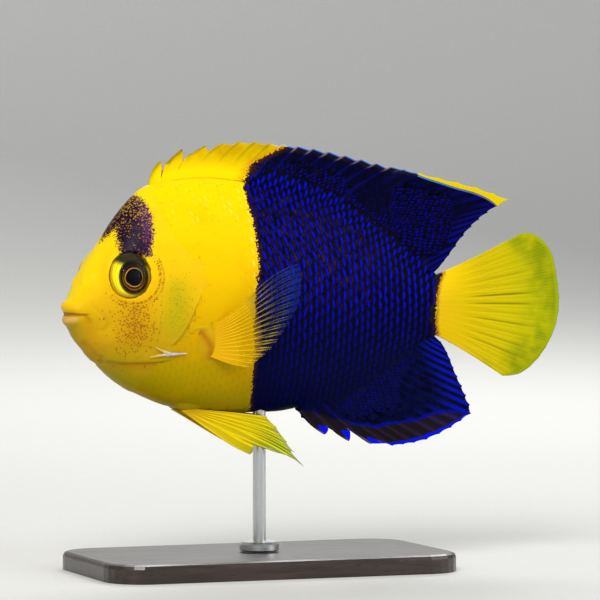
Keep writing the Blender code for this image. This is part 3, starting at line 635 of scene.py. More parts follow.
# Where the paint changes, as stations at each height
flank_edge = curve_through(
    (-25.0, 45.8), (-22.3, 45.4), (-18.8, 44.5), (-14.2, 44.2), (-8.5, 43.8), (-2.8, 43.5),
    (1.7, 43.7), (6.2, 44.3), (10.6, 44.8), (15.1, 44.7), (19.1, 44.6), (23.6, 43.9), (26.3, 43.8),
    (28.1, 44.5), (29.5, 45.2), (31.5, 46.4), (33.3, 48.8), (34.9, 52.4), (35.8, 54.5),
    (37.0, 58.0),
)
stem_edge = curve_through((-8.0, 92.3), (-3.7, 91.5), (0.9, 91.7), (3.2, 92.0), (7.2, 93.6))
saddle_front = curve_through(
    (11.0, 11.5), (13.0, 11.8), (15.3, 12.1), (18.6, 12.9), (20.6, 13.6), (22.3, 15.0), (25.5, 17.8)
)
saddle_rear = curve_through(
    (11.0, 18.0), (14.2, 18.6), (17.5, 19.4), (20.9, 19.6), (22.9, 19.3), (24.4, 18.7), (25.5, 18.0)
)
SADDLE_FOOT = 11.9


def height_share(s, z):
    """0 on the belly, a half at the widest line and 1 on the back: how far the painted shade
    darkens the yellow.
    """
    middle = widest_height(s)
    edge = np.where(z > middle, back_line(s), 2 * middle - belly_line(s))
    return np.clip(0.5 + 0.5 * (z - middle) / (edge - middle), 0, 1)


def blue_from(s, z):
    """The distance in mm behind the edge of the blue, on the flank and the fins."""
    return s - flank_edge(z)


def to_blue_of_body(s, z):
    """The distance in mm into the blue, on the body."""
    return np.minimum(s - flank_edge(z), stem_edge(z) - s)


def speckles(s, z):
    """How thick the brown and olive dots lie, and how much the saddle's colour turns lilac."""
    round_eye = np.hypot(s - EYE_PLACE[0], z - EYE_PLACE[2])
    below_behind = smooth_step((s - EYE_PLACE[0]) * 0.8 - (z - EYE_PLACE[2]), -1.0, 3.5)
    ring = np.maximum(hump(round_eye, 6.15, 0.3), 0.8 * hump(round_eye, 7.0, 0.3)) * below_behind
    cheek = hump(s, 14.4, 3.6) * hump(z, -3.2, 5.6) * (round_eye > 6.0)
    olive = hump(s, 24.0, 3.2) * hump(z, -0.2, 6.0)
    return np.stack(
        [np.maximum(1.0 * ring, 0.95 * cheek), 0.6 * olive, smooth_step(s, 16.0, 19.0)], 1,
    )


# Washes of colour over the yellow: orange-brown painted shade in the folds and creases, an orange
# tint on the jaw, olive, and pale pink on the lip with a painted highlight on the lower lip
BROWN_WASHES_AND_FOLD_SHADE = [
    (((4.3, -1.9), (4.9, -2.6)), 0.5, 0.5), (((8.0, -2.0), (8.5, -3.2), (7.9, -4.4)), 0.5, 0.25),
    (((4.6, -7.4), (8.0, -11.0)), 0.7, 0.3), (((5.5, -4.5), (8.5, -8.5)), 2.2, 0.22),
    (((9.6, -12.4), (14.0, -12.7), (20.0, -12.7), (26.0, -12.4)), 0.9, 0.5),
    (((23.6, -7.9), (25.4, -5.8), (27.3, -2.7), (28.9, 0.8)), 0.35, 0.35),
    (((28.8, -2.9), (29.9, -3.5), (31.2, -3.4)), 0.35, 0.55),
    (((30.2, -5.6), (31.7, -7.1), (32.8, -8.7), (32.8, -10.2)), 0.9, 0.75),
    (((33.2, -11.8), (34.9, -13.2)), 1.3, 0.5),
]
OLIVE_WASHES = [
    (((24.0, 3.5), (24.0, -4.0)), 3.2, 0.45), (((9.0, -14.0), (16.0, -18.5)), 3.0, 0.35),
]
PINK_WASH_AND_LIP_HIGHLIGHT = [(((0.3, -2.7), (2.2, -2.1)), 0.6, 0.35)]


def washes(s, z):
    """How strong the brown washes with their painted shade, the olive washes and the pink wash with
    its painted highlight are.
    """
    fields = (BROWN_WASHES_AND_FOLD_SHADE, OLIVE_WASHES, PINK_WASH_AND_LIP_HIGHLIGHT)
    return np.stack([along_paths(s, z, field) for field in fields], 1)


s, z = straight[:, 0], straight[:, 2]
gap_centre, gap_radii = np.array(MOUTH_GAP[0]), np.array(MOUTH_GAP[1]) + (0.3, 0.3, 0.2)
give(
    skin.data,
    {
        "place": straight,
        # the painted shade, darker towards the belly, is lightened on the cheek and jaw
        "height": height_share(s, z) + 0.25 * hump(s, 7.5, 4.0) * hump(z, -6.5, 3.5),
        "to_blue": to_blue_of_body(s, z),
        "saddle": np.minimum(
            np.minimum(
                s - saddle_front(z) + 1.7 * (1 - smooth_step(np.abs(straight[:, 1]), 0.5, 3.0)),
                saddle_rear(z) - s,
            ),
            z - SADDLE_FOOT,
        ),
        "dots": speckles(s, z),
        "wash": washes(s, z),
        "mouth": 1 - smooth_step(
            np.linalg.norm((straight - gap_centre) / gap_radii, axis=1), 0.9, 1.08,
        ),
    },
)
skin.data.vertices.foreach_set("co", swim(straight).ravel())
skin.data.update()
skin.data.shade_smooth()

# The saddle's specks, the dots below the eye and the cheek's fine scales, by their spacing
SPECK_MM = 0.24
DOT_MM = 0.4
CHEEK_SCALE_MM = 0.75
DEEPEST_SADDLE = [(0.0, "#080010"), (0.6, "#180424"), (0.85, "#300C34"), (1.0, "#5C3026")]
LILAC_SADDLE = [(0.0, "#1C0624"), (0.45, "#40184A"), (0.8, "#703462"), (1.0, "#8C5874")]
EDGE_GRAIN_MM = 0.45
SADDLE_FADE = (17.0, 23.0)
YELLOW_CLOUDS_PER_MM = 0.16
DARK_CLOUDS_PER_MM = 0.9


def yellow_paint(tree):
    """Cadmium lemon on the back, warmer down the flank and more olive under the belly: painted
    shade, as from a light above.
    """
    place = add(tree, "Attribute", out="Vector", attribute_name="place")
    height = add(tree, "Attribute", out="Fac", attribute_name="height")
    # painted shade: the yellow darkens and turns olive from the back down to the belly
    field = add(
        tree,
        "ValToRGB",
        {0: height},
        stops=[
            (0.0, "#967F00"), (0.08, "#A68E00"), (0.2, "#B89800"), (0.33, "#CB9F00"),
            (0.5, "#E3B400"), (0.62, "#F0C200"), (0.8, "#F8CE00"), (1.0, "#FFDA00"),
        ],
    )
    cloud = add(tree, "TexNoise", {"Vector": place, "Scale": YELLOW_CLOUDS_PER_MM, "Detail": 3.0})
    warm = add(tree, "MapRange", {0: cloud, 1: 0.5, 2: 0.75, 4: 0.25})
    return place, coated(tree, field, "#EDA200", warm)


def frayed(tree, place, distance, reach):
    """The distance to a colour's edge, roughened to make it grainy over its reach in mm."""
    grain = add(tree, "TexNoise", {"Vector": place, "Scale": 1 / EDGE_GRAIN_MM, "Detail": 2.0})
    shift = add(tree, "MapRange", {0: grain, 1: 0.3, 2: 0.7, 3: -reach, 4: reach})
    return add(tree, "Math", {0: distance, 1: shift}, operation="ADD")


def dark_blue_paint(tree, place):
    """The ground under the blue: near black, broken by a little brown."""
    cloud = add(tree, "TexNoise", {"Vector": place, "Scale": DARK_CLOUDS_PER_MM, "Detail": 3.0})
    share = add(tree, "MapRange", {0: cloud, 1: 0.45, 2: 0.7})
    return coated(tree, "#02031A", "#140A18", share)


def airbrushed_skin():
    """Acrylic under satin lacquer on resin: full soft colour, a low even shine, fine grain."""
    material, tree, shader = coating("airbrushed_resin_skin_satin_lacquer")
    place, colour = yellow_paint(tree)
    wash = add(tree, "Attribute", out="Vector", attribute_name="wash")
    # orange-brown washes, mostly painted shade in the folds; olive; pale pink with a painted
    # highlight
    for channel, code in (("X", "#B06A00"), ("Y", "#A6A000"), ("Z", "#F0C8A0")):
        share = add(tree, "SeparateXYZ", {0: wash}, out=channel)
        colour = coated(tree, colour, code, share)
    cells = add(tree, "TexVoronoi", {"Vector": place, "Scale": 1 / SPECK_MM}, out="Color")
    grain = add(tree, "SeparateColor", {0: cells}, out=0)
    tint = add(tree, "SeparateColor", {0: cells}, out=1)
    dot_place = add(tree, "TexVoronoi", {"Vector": place, "Scale": 1 / DOT_MM}, out="Distance")
    dot_shape = add(tree, "MapRange", {0: dot_place, 1: 0.6, 2: 0.38}, **SOFT_EDGED)
    dot_cells = add(tree, "TexVoronoi", {"Vector": place, "Scale": 1 / DOT_MM}, out="Color")
    dots = add(tree, "Attribute", out="Vector", attribute_name="dots")
    for channel, code, cloud_code, strength in (
        ("X", "#82400A", "#C48600", 0.75), ("Y", "#7E8A14", "#B8AE00", 0.4),
    ):
        density = add(tree, "SeparateXYZ", {0: dots}, out=channel)
        colour = coated(tree, colour, cloud_code, density, 0.55)
        shown = add(
            tree, "Math", {0: density, 1: add(tree, "SeparateColor", {0: dot_cells}, out=0)},
            operation="GREATER_THAN",
        )
        colour = coated(tree, colour, code, shown, dot_shape, strength)
    saddle = add(tree, "Attribute", out="Fac", attribute_name="saddle")
    inside = frayed(tree, place, saddle, 0.5)
    density = add(tree, "MapRange", {0: inside, 1: -0.6, 2: 0.5})
    upper = add(
        tree, "MapRange",
        {
            0: add(tree, "SeparateXYZ", {0: place}, out="Z"), 1: SADDLE_FADE[0], 2: SADDLE_FADE[1],
            3: 0.97, 4: 0.72,
        },
    )
    density = add(tree, "Math", {0: density, 1: upper}, operation="MULTIPLY")
    colour = coated(tree, colour, "#844210", density, 0.88)
    dark = add(tree, "Math", {0: density, 1: grain}, operation="GREATER_THAN")
    deep = add(tree, "ValToRGB", {0: tint}, stops=DEEPEST_SADDLE)
    lilac = add(tree, "ValToRGB", {0: tint}, stops=LILAC_SADDLE)
    purple = coated(tree, deep, lilac, add(tree, "SeparateXYZ", {0: dots}, out="Z"))
    colour = coated(tree, colour, purple, dark)
    edge = frayed(tree, place, add(tree, "Attribute", out="Fac", attribute_name="to_blue"), 0.35)
    blue = add(tree, "MapRange", {0: edge, 1: -0.15, 2: 0.15})
    colour = coated(tree, colour, dark_blue_paint(tree, place), blue)
    # painted shade in the mouth: its opening and edge darkened to olive-brown
    mouth = add(tree, "Attribute", out="Fac", attribute_name="mouth")
    colour = coated(tree, colour, "#9C7000", mouth)
    scale_cells = add(
        tree, "TexVoronoi", {"Vector": place, "Scale": 1 / CHEEK_SCALE_MM}, out="Distance",
        feature="SMOOTH_F1",
    )
    normal = add(
        tree, "Bump", {"Height": scale_cells, "Strength": 0.12, "Distance": 2 * FINE_RELIEF},
    )
    wire(
        tree, shader,
        {
            "Base Color": colour, "Normal": normal, "Roughness": 0.42, "IOR": LACQUER_IOR,
            "Specular IOR Level": 0.1, "Subsurface Weight": 0.12,
            "Subsurface Radius": (1.0, 0.5, 0.1), "Subsurface Scale": 0.0012,
        },
    )
    return material


skin.data.materials.clear()
skin.data.materials.append(airbrushed_skin())
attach(skin, "root")
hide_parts("head", "trunk", "tail_stem", "gill_cover_left", "gill_cover_right")

# The eyes: turned glass on a painted iris, as model makers buy them. A black pupil with a gold
# rim lies in a brown and olive iris, under a clear cornea that stands proud of the head.

PUPIL_RADIUS = 1.98
RIM_RADIUS = 2.16
IRIS_RADIUS = 3.9
PUPIL_DROP = 0.4
PAINTED_RADIUS = 5.5


def eye_points(profile, side, drop=0.0, steps=96):
    """Rings about the eye's axis from (radius, height outwards) pairs, and their flat places."""
    turn = turned_frame(*EYE_TURN, side)
    centre = np.array((EYE_PLACE[0], side * EYE_PLACE[1], EYE_PLACE[2]))
    angle = np.linspace(0, 2 * math.pi, steps, endpoint=False)
    radius, height = np.array(profile).T
    flat = np.stack([radius[:, None] * np.cos(angle), radius[:, None] * np.sin(angle)], -1)
    lowered = drop * (1 - smooth_step(radius, IRIS_RADIUS, EYE_RADIUS - 0.1))[:, None]
    out = np.broadcast_to(side * height[:, None], flat.shape[:2])
    local = np.stack([flat[..., 0], out, flat[..., 1] - lowered], -1)
    return local @ turn.T + centre, flat


def painted_iris():
    """Gloss varnish over a black pupil, a gold rim and a ringed iris, darker above."""
    material, tree, shader = coating("painted_iris_gloss_varnish")
    flat = add(tree, "Attribute", out="Vector", attribute_name="iris_place")
    radius = add(tree, "SeparateXYZ", {0: flat}, out="Z")
    share = add(tree, "MapRange", {0: radius, 1: 0.0, 2: PAINTED_RADIUS})
    rings = [
        (0.0, "#010206"), (0.355, "#020308"), (0.362, "#B87818"), (0.374, "#F0B43A"),
        (0.386, "#A86A14"), (0.4, "#3A1E04"), (0.45, "#3A1E04"), (0.485, "#6A3E06"),
        (0.52, "#7E4E0A"), (0.545, "#2A1604"), (0.60, "#120A04"), (0.63, "#1C1206"),
        (0.645, "#6A5414"), (0.66, "#1C1406"), (0.68, "#2A1E08"), (0.695, "#B09A20"),
        (0.71, "#4A3C08"),
    ]
    inner = add(tree, "ValToRGB", {0: share}, stops=rings)
    zone = [
        (0.70, "#8A7814"), (0.725, "#E6D418"), (0.755, "#FFF020"), (0.775, "#D0C01A"),
        (0.79, "#FFF222"), (0.84, "#F2E018"), (0.86, "#C4BA16"), (0.875, "#FFEE1C"),
        (0.925, "#F4DC12"), (0.945, "#FFEA2A"), (0.965, "#C89C10"), (0.985, "#F0C000"),
        (1.0, "#FFCC00"),
    ]
    outer = add(tree, "ValToRGB", {0: share}, stops=zone)
    streaks = add(
        tree, "TexNoise",
        {
            "Vector": add(tree, "VectorMath", {0: flat}, operation="NORMALIZE"), "Scale": 9.0,
            "Detail": 3.0,
        },
    )
    lit = add(tree, "MapRange", {0: streaks, 1: 0.3, 2: 0.7, 3: 0.7, 4: 1.2})

    def slant(rearward, upward, low, high):
        """A soft mask that comes in across the eye, from low to high mm along a direction."""
        way = add(
            tree, "VectorMath", {0: flat, 1: (rearward, upward, 0.0)}, out="Value",
            operation="DOT_PRODUCT",
        )
        return add(tree, "MapRange", {0: way, 1: low, 2: high}, **SOFT_EDGED)

    outer = coated(tree, outer, "#C49C10", slant(0.25, -1.0, 2.2, 4.0), 0.8)
    outer = coated(tree, outer, "#B8941C", slant(1.0, 0.0, 0.8, 3.0), 0.6)
    outer = coated(tree, outer, "#0A0712", slant(0.12, 1.0, 1.9, 3.3), 0.97)
    inner = add(
        tree, "Mix", {0: 1.0, 6: inner, 7: lit}, out=2, data_type="RGBA", blend_type="MULTIPLY",
    )
    past_rim = add(tree, "MapRange", {0: radius, 1: RIM_RADIUS + 0.02, 2: RIM_RADIUS + 0.15})
    inner = coated(tree, inner, "#06060C", past_rim, slant(0.08, 1.0, -0.2, 1.9), 0.93)
    inner = coated(tree, inner, "#3A2A08", past_rim, slant(1.0, 0.4, 1.0, 3.0), 0.5)
    in_zone = add(tree, "MapRange", {0: radius, 1: IRIS_RADIUS - 0.02, 2: IRIS_RADIUS + 0.04})
    colour = coated(tree, inner, outer, in_zone)
    normal = add(tree, "Bump", {"Height": streaks, "Strength": 0.04, "Distance": FINE_RELIEF})
    wire(
        tree, shader,
        {
            "Base Color": colour, "Roughness": 0.3, "IOR": LACQUER_IOR, "Specular IOR Level": 0.05,
            "Normal": normal,
        },
    )
    return material


def clear_cornea():
    """Blown glass, thin and even: all but invisible face on, a mirror at its edge."""
    material, tree, shader = coating("clear_glass_cornea")
    tree.nodes.remove(shader)
    edge = add(tree, "Fresnel", {"IOR": 1.1})
    through = add(tree, "BsdfTransparent", {"Color": pigment("#FFFFFF")})
    mirror = add(tree, "BsdfGlossy", {"Roughness": 0.05})
    mixed = add(tree, "MixShader", {0: edge, 1: through, 2: mirror})
    tree.links.new(mixed, tree.nodes["Material Output"].inputs["Surface"])
    return material


IRIS_PROFILE = [(r, 1.5 - 0.05 * r * r) for r in np.linspace(0.05, PUPIL_RADIUS - 0.06, 8)] + [
    (PUPIL_RADIUS, 1.4), (2.05, 1.47), (2.12, 1.48), (RIM_RADIUS, 1.42), (2.35, 1.3), (2.7, 1.26),
    (3.0, 1.28), (3.3, 1.2), (3.55, 1.22), (3.75, 1.14), (IRIS_RADIUS, 1.16), (4.05, 1.02),
    (4.3, 0.95), (4.6, 0.84), (4.9, 0.7), (5.15, 0.58), (5.3, 0.46), (EYE_RADIUS - 0.08, 0.34),
    (EYE_RADIUS - 0.05, -0.2), (4.2, -2.0), (2.2, -2.9), (0.1, -3.1),
]
CORNEA_THICK = 0.12
iris_paint, cornea_glass = painted_iris(), clear_cornea()
for side, word in SIDES:
    points, flat = eye_points(IRIS_PROFILE, side, PUPIL_DROP)
    radius = np.hypot(flat[..., 0], flat[..., 1])
    angle = np.arctan2(flat[..., 1], flat[..., 0])
    # The pupil is drawn out to a point at the front and a little down
    pointed = 0.12 * np.exp(-((1 - np.cos(angle - math.radians(192))) / 0.07))
    stretched = (pointed + 0.11 * np.cos(angle) ** 2) * np.clip((3.2 - radius) / 1.0, 0, 1)
    paint_radius = radius / (1 + stretched)
    iris_place = np.concatenate([flat, paint_radius[..., None]], -1)
    mesh_points, faces = joined_rings(points)
    eye = put(
        f"eye_{word}_iris", swim(mesh_points), faces, {"iris_place": iris_place.reshape(-1, 3)},
    )
    eye.data.materials.append(iris_paint)
    dome_reach = EYE_RADIUS - 0.06
    outer = [
        (r, 0.12 + (EYE_HEIGHT - 0.12) * math.sqrt(max(0.0, 1 - (r / dome_reach) ** 2)))
        for r in np.linspace(0.02, dome_reach, 30)
    ]
    shell, _ = eye_points(outer + [(r * 0.975, h - CORNEA_THICK) for r, h in outer[::-1]], side)
    mesh_points, faces = joined_rings(shell)
    cornea = put(f"eye_{word}_cornea", swim(mesh_points), faces)
    cornea.data.materials.append(cornea_glass)
    for piece in (eye, cornea):
        turn_outwards(piece)
        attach(piece, "root")
    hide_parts(f"eye_{word}")

# The cheek spines: a flat forked thorn at the lower corner of each cheek, its two roots pinned
# under the cheek's edge, cast in pale bone-coloured resin with a violet wash.

SPINE_FORK = (23.0, -10.1)
SPINE_BRANCHES = (
    ((18.6, -8.1), SPINE_FORK), ((16.8, -11.3), SPINE_FORK), ((21.8, -10.2), (26.9, -10.0)),
)
SPINE_HALF_HEIGHT = (0.36, 0.32, 0.42)
SPINE_THICK = 0.28
SPINE_RINGS, SPINE_SIDES = 22, 20
BONE_IOR = 1.54


def washed_bone():
    """Hard pale resin with a thin violet wash: smooth, slightly clear, yellower at its roots."""
    material, tree, shader = coating("bone_coloured_resin_violet_wash")
    along = add(tree, "Attribute", out="Fac", attribute_name="along")
    stops = [
        (0.0, "#CFA010"), (0.25, "#D6B440"), (0.42, "#D6C498"), (0.6, "#CCC2D0"), (0.8, "#C0B8D0"),
        (1.0, "#DEDAE4"),
    ]
    colour = add(tree, "ValToRGB", {0: along}, stops=stops)
    place = add(tree, "Attribute", out="Vector", attribute_name="place")
    fibre = add(
        tree, "TexNoise",
        {"Vector": add(tree, "Mapping", {"Vector": place, "Scale": (0.5, 5.0, 5.0)}), "Scale": 1.0},
    )
    shade = add(tree, "MapRange", {0: fibre, 1: 0.3, 2: 0.7, 3: 0.8, 4: 1.05})
    colour = add(
        tree, "Mix", {0: 1.0, 6: colour, 7: shade}, out=2, data_type="RGBA", blend_type="MULTIPLY",
    )
    wire(
        tree, shader,
        {
            "Base Color": colour, "Roughness": 0.4, "IOR": BONE_IOR, "Specular IOR Level": 0.3,
            "Subsurface Weight": 0.2, "Subsurface Scale": 0.0008,
        },
    )
    return material


bone = washed_bone()
for side, word in SIDES:
    points, faces, along_all = [], [], []
    for branch, (((s0, z0), (s1, z1)), tall) in enumerate(zip(SPINE_BRANCHES, SPINE_HALF_HEIGHT)):
        t = np.linspace(0, 1, SPINE_RINGS)
        tip = branch == 2
        swell = (1 - t) ** 0.8 if tip else 0.55 + 0.45 * smooth_step(t, 0.0, 0.8)
        sag = 0.25 * np.sin(math.pi * t) * (-1 if branch == 0 else 1) * (0 if tip else 1)
        s, z = s0 + (s1 - s0) * t, z0 + (z1 - z0) * t + sag
        out = flank(s, z) + 0.42 - (0 if tip else 0.9) * np.maximum(0.0, 0.4 - t) / 0.4
        angle = np.linspace(0, 2 * math.pi, SPINE_SIDES, endpoint=False)
        thick = SPINE_THICK * swell ** 0.7 + 0.04
        rings = np.stack(
            [
                np.repeat(s[:, None], SPINE_SIDES, 1),
                side * (out[:, None] + thick[:, None] * np.cos(angle)),
                z[:, None] + (tall * swell + 0.04)[:, None] * np.sin(angle),
            ],
            -1,
        )
        p, f = joined_rings(rings)
        faces += [[v + len(points) for v in face] for face in f]
        points += p.tolist()
        along_all += np.repeat(0.5 + 0.5 * t if tip else 0.55 * t, SPINE_SIDES).tolist()
    spine = put(f"cheek_spines_{word}", swim(points), faces, {"place": points, "along": along_all})
    turn_outwards(spine)
    spine.data.materials.append(bone)
    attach(spine, "root")

# The scales: about 1800 thin plates pressed from sheet resin, laid like tiles in upright columns
# with the front edge let into the skin and the rear edge free, over the roots of the fins too.
# Each blue one has one bright upright streak on a near black ground.

COLUMN = 1.38
TALL = 2.75
SLIP = 0.34
STEM_SLIP = 0.5
FREE_EDGE = 0.12
PLATE_LENGTH = 1.5
STREAK_HALF_WIDTH = 0.36
TABLE_STEP = 0.25
UP_LIMIT, DOWN_LIMIT = 42.0, -36.0
MEMBRANE_HALF = 0.13
ROOT_FALL = 2.4
DORSAL_START, DORSAL_END = 21.8, 90.2
ANAL_START, ANAL_END = 57.4, 90.4
SHEATH_UP, SHEATH_DOWN = 4.6, 3.6

table_s = np.arange(14.0, STEM_END + 0.9, TABLE_STEP)
table_arc = np.arange(DOWN_LIMIT, UP_LIMIT + TABLE_STEP, TABLE_STEP)


def fin_root(s, rise, start, end):
    """Half the thickness of a fin's fleshy root, at a height beyond the body's edge."""
    here = smooth_step(s, start - 0.6, start + 2.4) * (1 - smooth_step(s, end - 1.5, end + 0.5))
    peak = np.minimum(1.35, 0.26 * half_width(s)) * here
    fall = np.exp(-np.abs(rise) / ROOT_FALL)
    return peak * np.where(rise > 0, fall, 2 - fall)


def flank_table():
    """(y, z) of the flank and fin roots at each station and distance round from the widest line."""
    y_table, z_table, reach = [], [], []
    half = np.linspace(0, math.pi / 2, 91)

    def outwards(y, z, rise, start, end, more):
        """Half a section with a fin's root grown onto it, and the distance along it."""
        rise = np.concatenate([rise, more])
        root = fin_root(s, rise, start, end) + MEMBRANE_HALF * (start < s < end)
        y = np.concatenate([y, 0 * more])
        y = (y ** 6 + root ** 6) ** (1 / 6)
        z = np.concatenate([z, z[-1] + np.sign(z[-1] - z[0]) * more])
        return y, np.concatenate([[0], np.cumsum(np.hypot(np.diff(y), np.diff(z)))])

    for s in table_s:
        y_up, z_up = half_section(s, half[::-1] - 1e-9)
        y_down, z_down = half_section(s, math.pi / 2 + half + 1e-9)
        more_up, more_down = (
            np.linspace(0, far, 25)[1:]
            for far in (SHEATH_UP + 1.5, SHEATH_DOWN + 1.5)
        )
        crest, keel = back_line(s), belly_line(s)
        y_up, arc_up = outwards(y_up, z_up, z_up - crest, DORSAL_START, DORSAL_END, more_up)
        y_down, arc_down = outwards(y_down, z_down, keel - z_down, ANAL_START, ANAL_END, more_down)
        z_up = np.concatenate([z_up, crest + more_up])
        z_down = np.concatenate([z_down, keel - more_down])
        arc = np.concatenate([-arc_down[:0:-1], arc_up])
        y_table.append(np.interp(table_arc, arc, np.concatenate([y_down[:0:-1], y_up])))
        z_table.append(np.interp(table_arc, arc, np.concatenate([z_down[:0:-1], z_up])))
        up_room = min(
            SHEATH_UP, max(0.0, 1.5 * (s - DORSAL_START - 0.5)),
            max(0.0, 2.0 * (DORSAL_END - 0.6 - s)),
        )
        down_room = min(
            SHEATH_DOWN, max(0.0, 1.2 * (s - ANAL_START - 0.6)),
            max(0.0, 1.5 * (ANAL_END - 1.0 - s)),
        )
        reach.append(
            (
                -np.interp(-(keel - down_room) if down_room else -keel + 0.25, -z_down, arc_down),
                np.interp(crest + up_room if up_room else crest - 0.3, z_up, arc_up),
            )
        )
    return np.array(y_table), np.array(z_table), np.array(reach)


flank_y, flank_z, flank_reach = flank_table()


def on_flank(s, arc):
    """Straight points on the right flank, at a station and a distance round from its middle."""
    i = np.clip((s - table_s[0]) / TABLE_STEP, 0, len(table_s) - 1.001)
    j = np.clip((arc - table_arc[0]) / TABLE_STEP, 0, len(table_arc) - 1.001)
    i0, j0 = i.astype(int), j.astype(int)
    fi, fj = i - i0, j - j0
    columns = (
        [t[i0, at] * (1 - fi) + t[i0 + 1, at] * fi for at in (j0, j0 + 1)]
        for t in (flank_y, flank_z)
    )
    y, z = (near * (1 - fj) + far * fj for near, far in columns)
    return np.stack([s, y, z], -1)


def normals_on(surface, a, b):
    """Unit normals of a surface function, to the fish's right."""
    step = 0.3
    across = np.cross(
        surface(a + step, b) - surface(a - step, b), surface(a, b + step) - surface(a, b - step),
    )
    across /= np.linalg.norm(across, axis=-1, keepdims=True) + 1e-9
    return across * np.where(across[..., 1:2] < 0, -1.0, 1.0)


PLATE_ACROSS = np.linspace(-1, 1, 9)
PLATE_ALONG = np.array([0.0, 0.3, 0.52, 0.7, 0.84, 0.94, 1.0, 1.0])
PLATE_PATCH = 0.009
PLATE_CORNER = math.radians(50)


def plates(
    name, surface, side, a, b, length, height, lift, streak_size, lean, tone, blue_of, patch_place,
):
    """One joined mesh of scales. a and b are their places on the surface, lengths run back along a.

    tone holds for each scale how bright its streak is, how brown its ground and how strong the pale
    painted highlight on it is.
    """
    rng = np.random.default_rng(7)
    drop = np.zeros(len(PLATE_ALONG))
    drop[-1] = 1.0
    u, v = np.meshgrid(PLATE_ACROSS, PLATE_ALONG, indexing="ij")
    sunk = np.broadcast_to(drop, u.shape)
    u, v, sunk = (x.ravel()[None, :] for x in (u, v, sunk))
    length, height, lift, lean, wide, tall = (
        np.broadcast_to(x, a.shape)[:, None] for x in (length, height, lift, lean, *streak_size)
    )
    jitter = rng.normal(0, 0.025, (len(a), 2)) * length
    rear_curve = 0.4 * u * u
    back = (1.8 * v - 0.95 - rear_curve * v) * length + jitter[:, :1]
    up = u * (0.85 + 0.18 * np.sin(math.pi * v * 0.6)) * height + jitter[:, 1:]
    rise = lift * (1.25 * v - 0.75 - 0.25 * u * u) - sunk * (lift * 0.9 + 0.03)
    place_a, place_b = a[:, None] + back, b[:, None] + up
    points = surface(place_a, place_b) + normals_on(surface, place_a, place_b) * rise[..., None]
    points = points.reshape(-1, 3) * (1, side, 1)
    lean = lean + rng.normal(0, 0.1, (len(a), 1))
    from_streak = back - (0.42 - 0.12 * u * u) * length + rng.normal(0, 0.03, (len(a), 1)) * length
    streak = np.stack(
        [
            (from_streak * np.cos(lean) + up * np.sin(lean)) / wide,
            (up * np.cos(lean) - from_streak * np.sin(lean)) / tall,
            np.zeros_like(up),
        ],
        -1,
    )
    each = u.shape[1]
    quad = grid_faces(len(PLATE_ACROSS), len(PLATE_ALONG))
    if side == LEFT:
        quad = quad[:, ::-1]
    faces = (quad[None] + np.arange(len(a))[:, None, None] * each).reshape(-1, 4)
    own_shift = np.repeat(rng.normal(0, 0.12, len(a)), each)
    values = {
        "place": points,
        "streak": streak.reshape(-1, 3),
        "tone": np.repeat(tone, each, 0),
        "to_blue": blue_of(points[:, 0], points[:, 2]) + own_shift,
        "height": height_share(points[:, 0], points[:, 2]),
    }
    made = put(name, swim(points), faces, values)
    made.data.set_sharp_from_angle(angle=PLATE_CORNER)
    uv = np.stack(
        [
            np.repeat(patch_place[:, 0], each) + (np.tile(v.ravel(), len(a)) - 0.5) * PLATE_PATCH,
            np.repeat(patch_place[:, 1], each) + np.tile(u.ravel(), len(a)) * PLATE_PATCH / 2,
        ],
        1,
    )
    loops = np.empty(len(made.data.loops), int)
    made.data.loops.foreach_get("vertex_index", loops)
    made.data.uv_layers.new(name="OFBake").data.foreach_set(
        "uv", uv[loops].astype(np.float32).ravel(),
    )
    return made


def scale_places():
    """Stations, distances round the flank and half-heights of the scales, in upright columns."""
    column = np.arange(56)
    column_s = 14.6 + COLUMN * column * (1 + 0.0015 * column)
    slipped = np.cumsum(np.where(column_s > 75, STEM_SLIP, SLIP)) % 1
    row = np.arange(-18.0, 26.0, 0.05)
    row_tall = TALL - 0.75 * smooth_step(row, 3.5, 8.0) - 0.4 * smooth_step(-row, 3.0, 8.0)
    row_arc = np.cumsum(row_tall) * 0.05
    row_arc = row_arc - np.interp(0, row, row_arc)
    k, j = np.meshgrid(np.arange(-16, 24), column, indexing="ij")
    s, q = column_s[j], k + slipped[j]
    smaller = 1 - 0.22 * smooth_step(s, 55, 92)
    arc = np.interp(q, row, row_arc) * smaller + 0.4
    height = np.interp(q, row, row_tall) * smaller * 0.49
    low, high = (np.interp(s, table_s, flank_reach[:, n]) for n in (0, 1))
    inside = (s < STEM_END - 0.5) & (arc > low + 0.2) & (arc < high)
    s, arc, height = s[inside], arc[inside], height[inside]
    z = on_flank(s, arc)[:, 2]
    _, middle = leaning(RIGHT)
    from_fin = np.hypot((s - middle[0]) / 2.6, (z - middle[2]) / 4.8)
    keep = (s > scales_from(z)) & (from_fin > 1) & ((s < 80) | (to_blue_of_body(s, z) > 1.2))
    keep &= (z < back_line(s) - 2.2) | (blue_from(s, z) > 0.2)
    keep &= (z > belly_line(s) + 1.2) | (s > ANAL_START)
    return s[keep], arc[keep], z[keep], height[keep]


GRAIN_PER_MM = 2.2
PATCHES_PER_MM = 0.55


